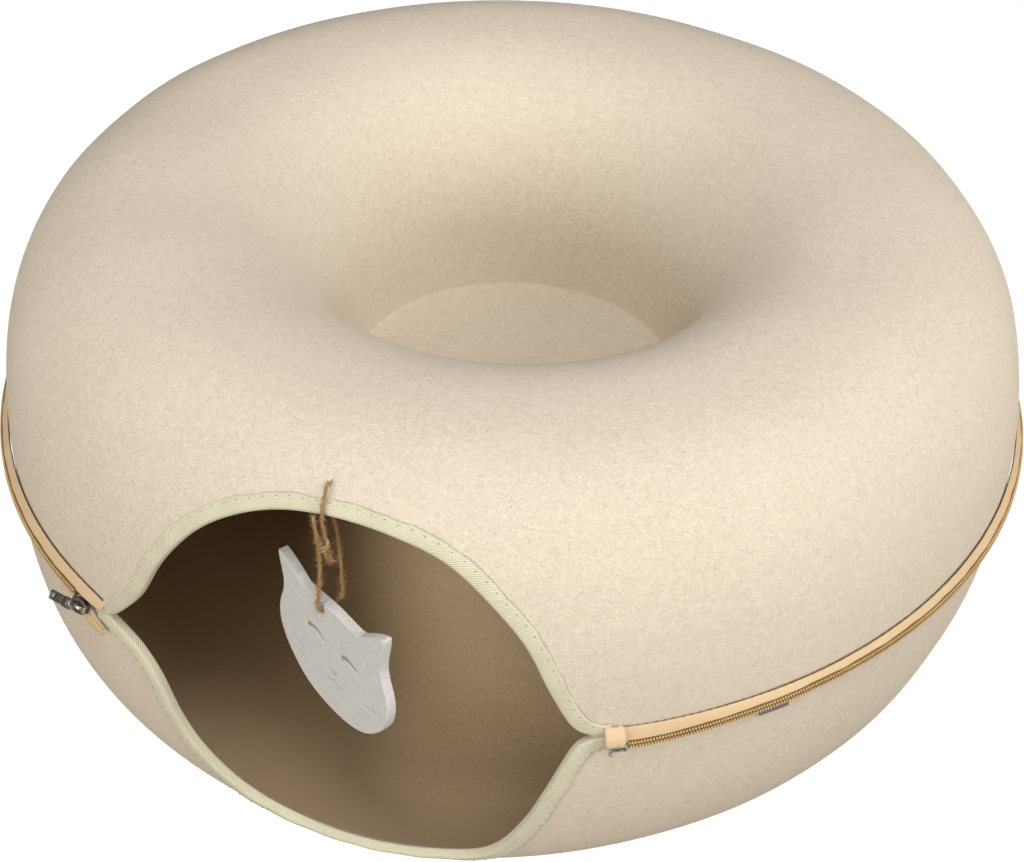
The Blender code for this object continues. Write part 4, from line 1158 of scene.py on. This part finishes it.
def holedPlate(outer, inner, thick):
    # a plate between an outline and the edge of its hole, with round rims on both faces
    bend = fittings["bevel"]
    outward, inward = unit(outer - outer.mean(0)), unit(inner - inner.mean(0))
    a = np.linspace(0.0, math.pi / 2.0, 4)
    rows = [(inner + inward * bend * (1 - c), bend * k) for c, k in zip(np.cos(a), np.sin(a))]
    rows += [(outer - outward * bend * (1 - c), bend * k) for c, k in zip(np.cos(a)[::-1], np.sin(a)[::-1])]
    flat = np.stack([row for row, _ in rows], 1)
    rise = np.broadcast_to(np.array([lift for _, lift in rows]) + thick / 2.0 - bend, flat.shape[:2])
    flat = np.concatenate([flat, flat[:, ::-1]], 1)
    rise = np.concatenate([rise, -rise[:, ::-1]], 1)
    return np.concatenate([flat, rise[..., None]], -1)


def placedAtRim(local, place):
    # local (along, up, out) coordinates turned in their plane, leant back and put at the rim
    turn, out, above = place["at"]
    azimuth = np.radians([turn])
    ahead, away, down = rimAxes(azimuth, place["lean"])[0]
    c, s = math.cos(math.radians(place["turn"])), math.sin(math.radians(place["turn"]))
    x = local[..., 0] * c - local[..., 1] * s
    y = local[..., 0] * s + local[..., 1] * c
    middle = rimPoints(azimuth, out, above)[0]
    return middle + x[..., None] * ahead - y[..., None] * down + local[..., 2:] * away


def makePlates(name, place, material, replaced):
    # plates with holes, pressed together into one piece
    grids = []
    for outline, taper, middle, hole, holeMiddle, thick, out in fittings[name]:
        outer = roundedShape(*outline, fittings["around"])
        outer[:, 1] *= 1.0 - taper * np.clip(outer[:, 0] / fittings["taperLength"], 0.0, 1.0)
        outer = outer + middle
        inner = outer * hole if isinstance(hole, float) else roundedShape(*hole, fittings["around"])
        grids.append(placedAtRim(holedPlate(outer, inner + holeMiddle, thick) + (0.0, 0.0, out), place))
    addPiece(name, joinedMesh(name, grids, closedU=True, angle=40.0), material, (replaced,))


def makeBridge(place):
    # a bowed strap along the slider that holds the puller
    bridge = fittings["bridge"]
    t = np.linspace(0.0, 1.0, 22)
    rise = bridge["out"] + bridge["bow"] * np.sin(math.pi * t) ** 0.6
    spine = np.stack([bridge["half"] * (2.0 * t - 1.0), np.zeros(22), rise], -1)
    strap = np.pad(roundedShape(*bridge["strap"], 12), ((0, 0), (1, 0)))
    bow = placedAtRim(spine[:, None] + strap[None], place)
    addPiece("slider_bridge", joinedMesh("slider_bridge", [bow]), darkNickel)


def makeTail():
    # the free end: a flat tape rolled in on itself, narrower at its end
    turn, out, above = smoothCurve(fittings["tail"], 16).T
    spine = rimPoints(np.radians(turn), out, above)
    ahead = unit(np.gradient(spine, axis=0))
    away = rimAxes(np.radians(turn), fittings["tailLean"])[:, 1]
    across = np.cross(ahead, away)
    t = np.linspace(0.0, 1.0, len(spine))[:, None]
    a = np.linspace(0.0, 2.0 * math.pi, 20, endpoint=False)[None]
    wide, thick = fittings["tailHalf"]
    first, wider, last = fittings["tailTaper"]
    taper = first + wider * np.sin(math.pi * np.clip(t * 1.1, 0.0, 1.0))
    taper = taper * np.clip((1.0 - t) / last, 0.3, 1.0)
    sideways = wide * taper * (1.0 + 0.05 * np.sin(t * 60.0)) * np.cos(a)
    outwards = thick * taper * np.sin(a) * (1.0 - 0.35 * np.cos(a))
    grid = spine[:, None] + across[:, None] * sideways[..., None] + away[:, None] * outwards[..., None]
    uv = stripUv(travelled(spine), np.linspace(0.0, fittings["tailGirth"], 21))
    tail = finishMesh(surfaceMesh("tape_end", grid, closedV=True, uv=uv, caps=True))
    addPiece("tape_end", tail, tailTape, ("zip_tail",))


makePlates("slider_body", fittings["slider"], darkNickel, "zip_slider")
makeBridge(fittings["slider"])
makePlates("puller_plate", fittings["puller"], darkNickel, "zip_puller")
makePlates("stop_bar", fittings["stop"], silverMetal, "zip_stop")
makeTail()
print("fittings made")

# Pendant

pendant = {
    "place": (-0.0016, -0.2788, 0.2014), "turn": -31.9, "thick": 0.0055, "round": 0.0005,
    "hole": (-0.0070, -0.0035), "holeRadius": 0.0019, "middle": (0.0, -0.0330), "around": 600,
    "rows": 60, "flat": (0.0925, 0.0830), "area": 0.0062, "edgeRough": 0.00012, "uneven": (0.0002, 0.03),
    # half the head in cubic stretches from the chin to the top: two handles and the end of each
    "chin": (0.0, -0.0710),
    "outline": [
        ((0.0150, -0.0710), (0.0250, -0.0665), (0.0320, -0.0600)),
        ((0.0410, -0.0520), (0.0462, -0.0430), (0.0462, -0.0330)),
        ((0.0462, -0.0220), (0.0418, -0.0190), (0.0410, -0.0100)),
        ((0.0404, -0.0030), (0.0444, 0.0040), (0.0440, 0.0108)),
        ((0.0420, 0.0112), (0.0345, 0.0085), (0.0235, 0.0012)),
        ((0.0170, 0.0006), (0.0080, 0.0020), (0.0, 0.0020)),
    ],
    # the right ear was cut a little taller: how much, from which corner on, and over what width and height
    "earRise": 0.0030, "earFrom": (0.020, -0.012), "earOver": (0.022, 0.020),
    # cuts: how thick their dark lines of painted shade are, how deep they lie, and the depth and width of the
    # dent round them
    "cut": {"marks": (0.00028, 0.00022, 0.00022, 0.0007), "eyes": (0.0014, 0.00095, 0.0008, 0.0014)},
    "eyes": [
        [(-0.0211, -0.0233), (-0.0170, -0.0218), (-0.0122, -0.0225), (-0.0073, -0.0259)],
        [(0.0076, -0.0248), (0.0118, -0.0232), (0.0163, -0.0239), (0.0220, -0.0266)],
    ],
    "marks": [
        [(-0.0030, -0.0400), (0.0000, -0.0412), (0.0030, -0.0402), (0.0000, -0.0445)],
        [(-0.0060, -0.0470), (-0.0025, -0.0490), (0.0008, -0.0468), (0.0045, -0.0490), (0.0090, -0.0470)],
        [(-0.0360, -0.0410), (-0.0300, -0.0430), (-0.0240, -0.0440)],
        [(-0.0300, -0.0505), (-0.0255, -0.0502), (-0.0210, -0.0500)],
        [(0.0240, -0.0440), (0.0300, -0.0428), (0.0370, -0.0410)],
        [(0.0220, -0.0490), (0.0270, -0.0497), (0.0320, -0.0500)],
    ],
}


def headOutline(count):
    # cubic stretches make half a cat's head, which is then mirrored
    t = np.linspace(0.0, 1.0, 40, endpoint=False)[:, None]
    start = np.array(pendant["chin"])
    half = []
    for first, second, end in np.array(pendant["outline"]):
        handles = 3 * (1 - t)**2 * t * first + 3 * (1 - t) * t**2 * second
        half.append((1 - t)**3 * start + handles + t**3 * end)
        start = end
    half = np.vstack(half)
    right = half.copy()
    ear = np.clip((half - pendant["earFrom"]) / pendant["earOver"], 0.0, 1.0)
    right[:, 1] += pendant["earRise"] * ear[:, 0] * ear[:, 1]
    loop = np.vstack([right, [start], half[:0:-1] * (-1.0, 1.0), right[:1]])
    return along(loop, np.linspace(0.0, travelled(loop)[-1], count, endpoint=False))


def pendantWorld(local):
    # face coordinates to the row frame: upright, turned about Z and moved to its place
    turn = math.radians(pendant["turn"])
    x, y, out = local[..., 0], local[..., 1], local[..., 2]
    return np.stack([
        x * math.cos(turn) + out * math.sin(turn) + pendant["place"][0],
        x * math.sin(turn) - out * math.cos(turn) + pendant["place"][1] + ring["axisY"],
        y + pendant["place"][2],
    ], -1)


def dentedFront(flat, out):
    # soft dents along the cut lines and a pit at the hole
    front = np.ones(flat.shape[:2])
    front[pendant["rows"]:] = 0.0
    for key in ("marks", "eyes"):
        _, _, deep, wide = pendant["cut"][key]
        for mark in pendant[key]:
            line = smoothCurve(mark, 8)
            gap = np.min(np.linalg.norm(flat[:, :, None] - line[None, None], axis=-1), axis=-1)
            out = out - front * deep * np.exp(-(gap / wide) ** 2)
    gap = np.linalg.norm(flat - np.array(pendant["hole"]), axis=-1)
    radius = pendant["holeRadius"]
    return out * np.clip((gap - radius * 0.6) / (radius * 0.4), 0.08, 1.0)


def makeHead():
    # front face from the middle outwards, a round rim, the cut edge, then the back
    outline = headOutline(pendant["around"])
    run = unit(np.roll(outline, -2, 0) - np.roll(outline, 2, 0))
    away = np.stack([run[:, 1], -run[:, 0]], -1)
    middle = np.array(pendant["middle"])
    bend, half = pendant["round"], pendant["thick"] / 2.0
    inner = outline - away * bend
    t = np.linspace(0.0, 1.0, pendant["rows"], endpoint=False) ** 0.8
    face = middle + t[:, None, None] * (inner - middle)[None]
    a = np.linspace(0.0, math.pi / 2.0, 6)
    rimFlat = inner[None] + bend * np.sin(a)[:, None, None] * away[None]
    rimOut = np.broadcast_to((half - bend * (1.0 - np.cos(a)))[:, None], (6, len(outline)))
    nicks = pendant["edgeRough"] * np.sin(np.arange(len(outline)) * 0.9)
    edge = outline[None] + nicks[None, :, None] * away[None]
    flat = np.concatenate([face, rimFlat, edge, rimFlat[::-1], face[::-3]])
    faceOut = np.full(face.shape[:2], half)
    out = np.concatenate([faceOut, rimOut, np.zeros((1, len(outline))), -rimOut[::-1], -faceOut[::-3]])
    local = np.concatenate([flat, dentedFront(flat, out)[..., None]], -1)
    deep, patch = pendant["uneven"]
    local[..., 2] += deep * wobble(local * np.array([1.0, 1.0, 0.0]), patch, 8)
    mesh = surfaceMesh("cat_head", pendantWorld(local), closedV=True)
    mesh = finishMesh(mesh, merge=2e-6, angle=75.0)
    return addPiece("cat_head", mesh, feltWhite, ("pendant",))


def makeCutShades(name, key, material):
    # dark tubes of painted shade along the cuts: an eye's is thickest near its left end, a thin line's keeps
    # its width
    full, deep, _, _ = pendant["cut"][key]
    tubes = []
    for mark in pendant[key]:
        line = smoothCurve(mark, 10)
        t = np.linspace(0.0, 1.0, len(line))
        thin = (1.0 - t) ** 0.75 + 0.04 if key == "eyes" else np.clip((1.0 - t) / 0.15, 0.3, 1.0)
        size = full * np.clip(t / 0.12, 0.25, 1.0) ** 0.6 * thin
        local = np.concatenate([line, np.full((len(line), 1), pendant["thick"] / 2.0 - deep)], -1)
        tubes.append(pendantWorld(tubePoints(local, size, 10, (0.0, 0.0, 1.0))))
    return addPiece(name, joinedMesh(name, tubes), material)


head = makeHead()
cutShades = [makeCutShades("cat_head_mark_shades", "marks", markCutShade), makeCutShades("cat_head_eye_shades", "eyes", eyeCutShade)]
print("pendant made")

# The label keeps its solid's shape

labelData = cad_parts["care_label"].data
labelData.materials.clear()
labelData.materials.append(labelGreyShaded)
print("label finished")

# Floor and light

studio = {
    # the room's light, weakest and strongest, and the side where it is strongest
    "low": 0.04, "high": 0.60, "towards": (0.25, -0.62, 0.74),
    "floor": (0.33, 0.300, 0.250), "floorHalf": 6.0, "floorLow": -0.0004, "white": 1.10, "glow": 0.93,
    "lamps": [
        ("keyLamp", (-1.10, -2.50, 0.90), 1.2, 30.0, (1.0, 0.99, 0.97)),
        ("sideLamp", (2.75, -0.50, 1.50), 2.0, 53.0, (1.0, 1.0, 1.0)),
        ("highLamp", (0.30, -0.80, 2.10), 1.0, 15.5, (0.99, 0.99, 1.01)),
    ],
}


def seenByCamera(tree):
    return putNode(tree, "ShaderNodeLightPath").outputs["Is Camera Ray"]


def makeRoom():
    # the camera sees a white room, and the pieces are lit by one that is brightest above the front
    world = bpy.data.worlds.new("studio")
    world.use_nodes = True
    tree = world.node_tree
    dim = tree.nodes["Background"]
    dim.inputs["Color"].default_value = (1.0, 1.0, 1.0, 1.0)
    facing = putNode(tree, "ShaderNodeVectorMath", {
        0: putNode(tree, "ShaderNodeTexCoord").outputs["Generated"], 1: studio["towards"]},
        operation="DOT_PRODUCT").outputs["Value"]
    light = putNode(tree, "ShaderNodeMapRange", {"Value": facing, "From Min": -0.3, "From Max": 1.0,
                                                 "To Min": studio["low"], "To Max": studio["high"]})
    tree.links.new(light.outputs[0], dim.inputs["Strength"])
    white = putNode(tree, "ShaderNodeBackground", {"Color": (1.0, 1.0, 1.0, 1.0),
                                                   "Strength": studio["white"]})
    mixed = putNode(tree, "ShaderNodeMixShader",
                    {0: seenByCamera(tree), 1: dim.outputs[0], 2: white.outputs[0]})
    tree.links.new(mixed.outputs[0], tree.nodes["World Output"].inputs["Surface"])
    bpy.context.scene.world = world


def makeFloor():
    half, low = studio["floorHalf"], studio["floorLow"]
    corners = [(-half, -half, low), (half, -half, low), (half, half, low), (-half, half, low)]
    floor = bpy.data.objects.new("floor", plainMesh("floor", corners, [(0, 1, 2, 3)]))
    bpy.context.scene.collection.objects.link(floor)
    material, tree, shader = newMaterial("floorPaper", {
        "Roughness": 0.9, "Base Color": (*studio["floor"], 1.0)})
    # seen by the camera the paper is nearly all white, as an overexposed sweep is
    glow = putNode(tree, "ShaderNodeEmission", {"Strength": studio["white"]})
    share = maths(tree, "MULTIPLY", seenByCamera(tree), studio["glow"])
    mixed = putNode(tree, "ShaderNodeMixShader", {0: share, 1: shader.outputs[0], 2: glow.outputs[0]})
    tree.links.new(mixed.outputs[0], tree.nodes["Material Output"].inputs["Surface"])
    floor.data.materials.append(material)


def makeLamp(name, place, size, power, tint):
    # a round lamp that faces the ring
    lamp = bpy.data.lights.new(name, "AREA")
    lamp.shape, lamp.size, lamp.energy, lamp.color = "DISK", size, power, tint
    lampObject = bpy.data.objects.new(name, lamp)
    lampObject.location = place
    lampObject.rotation_euler = (-Vector(place)).to_track_quat("-Z", "Y").to_euler()
    bpy.context.scene.collection.objects.link(lampObject)


makeRoom()
makeFloor()
for lampLook in studio["lamps"]:
    makeLamp(*lampLook)
bpy.context.scene.view_settings.view_transform = "Standard"
print("studio lit")
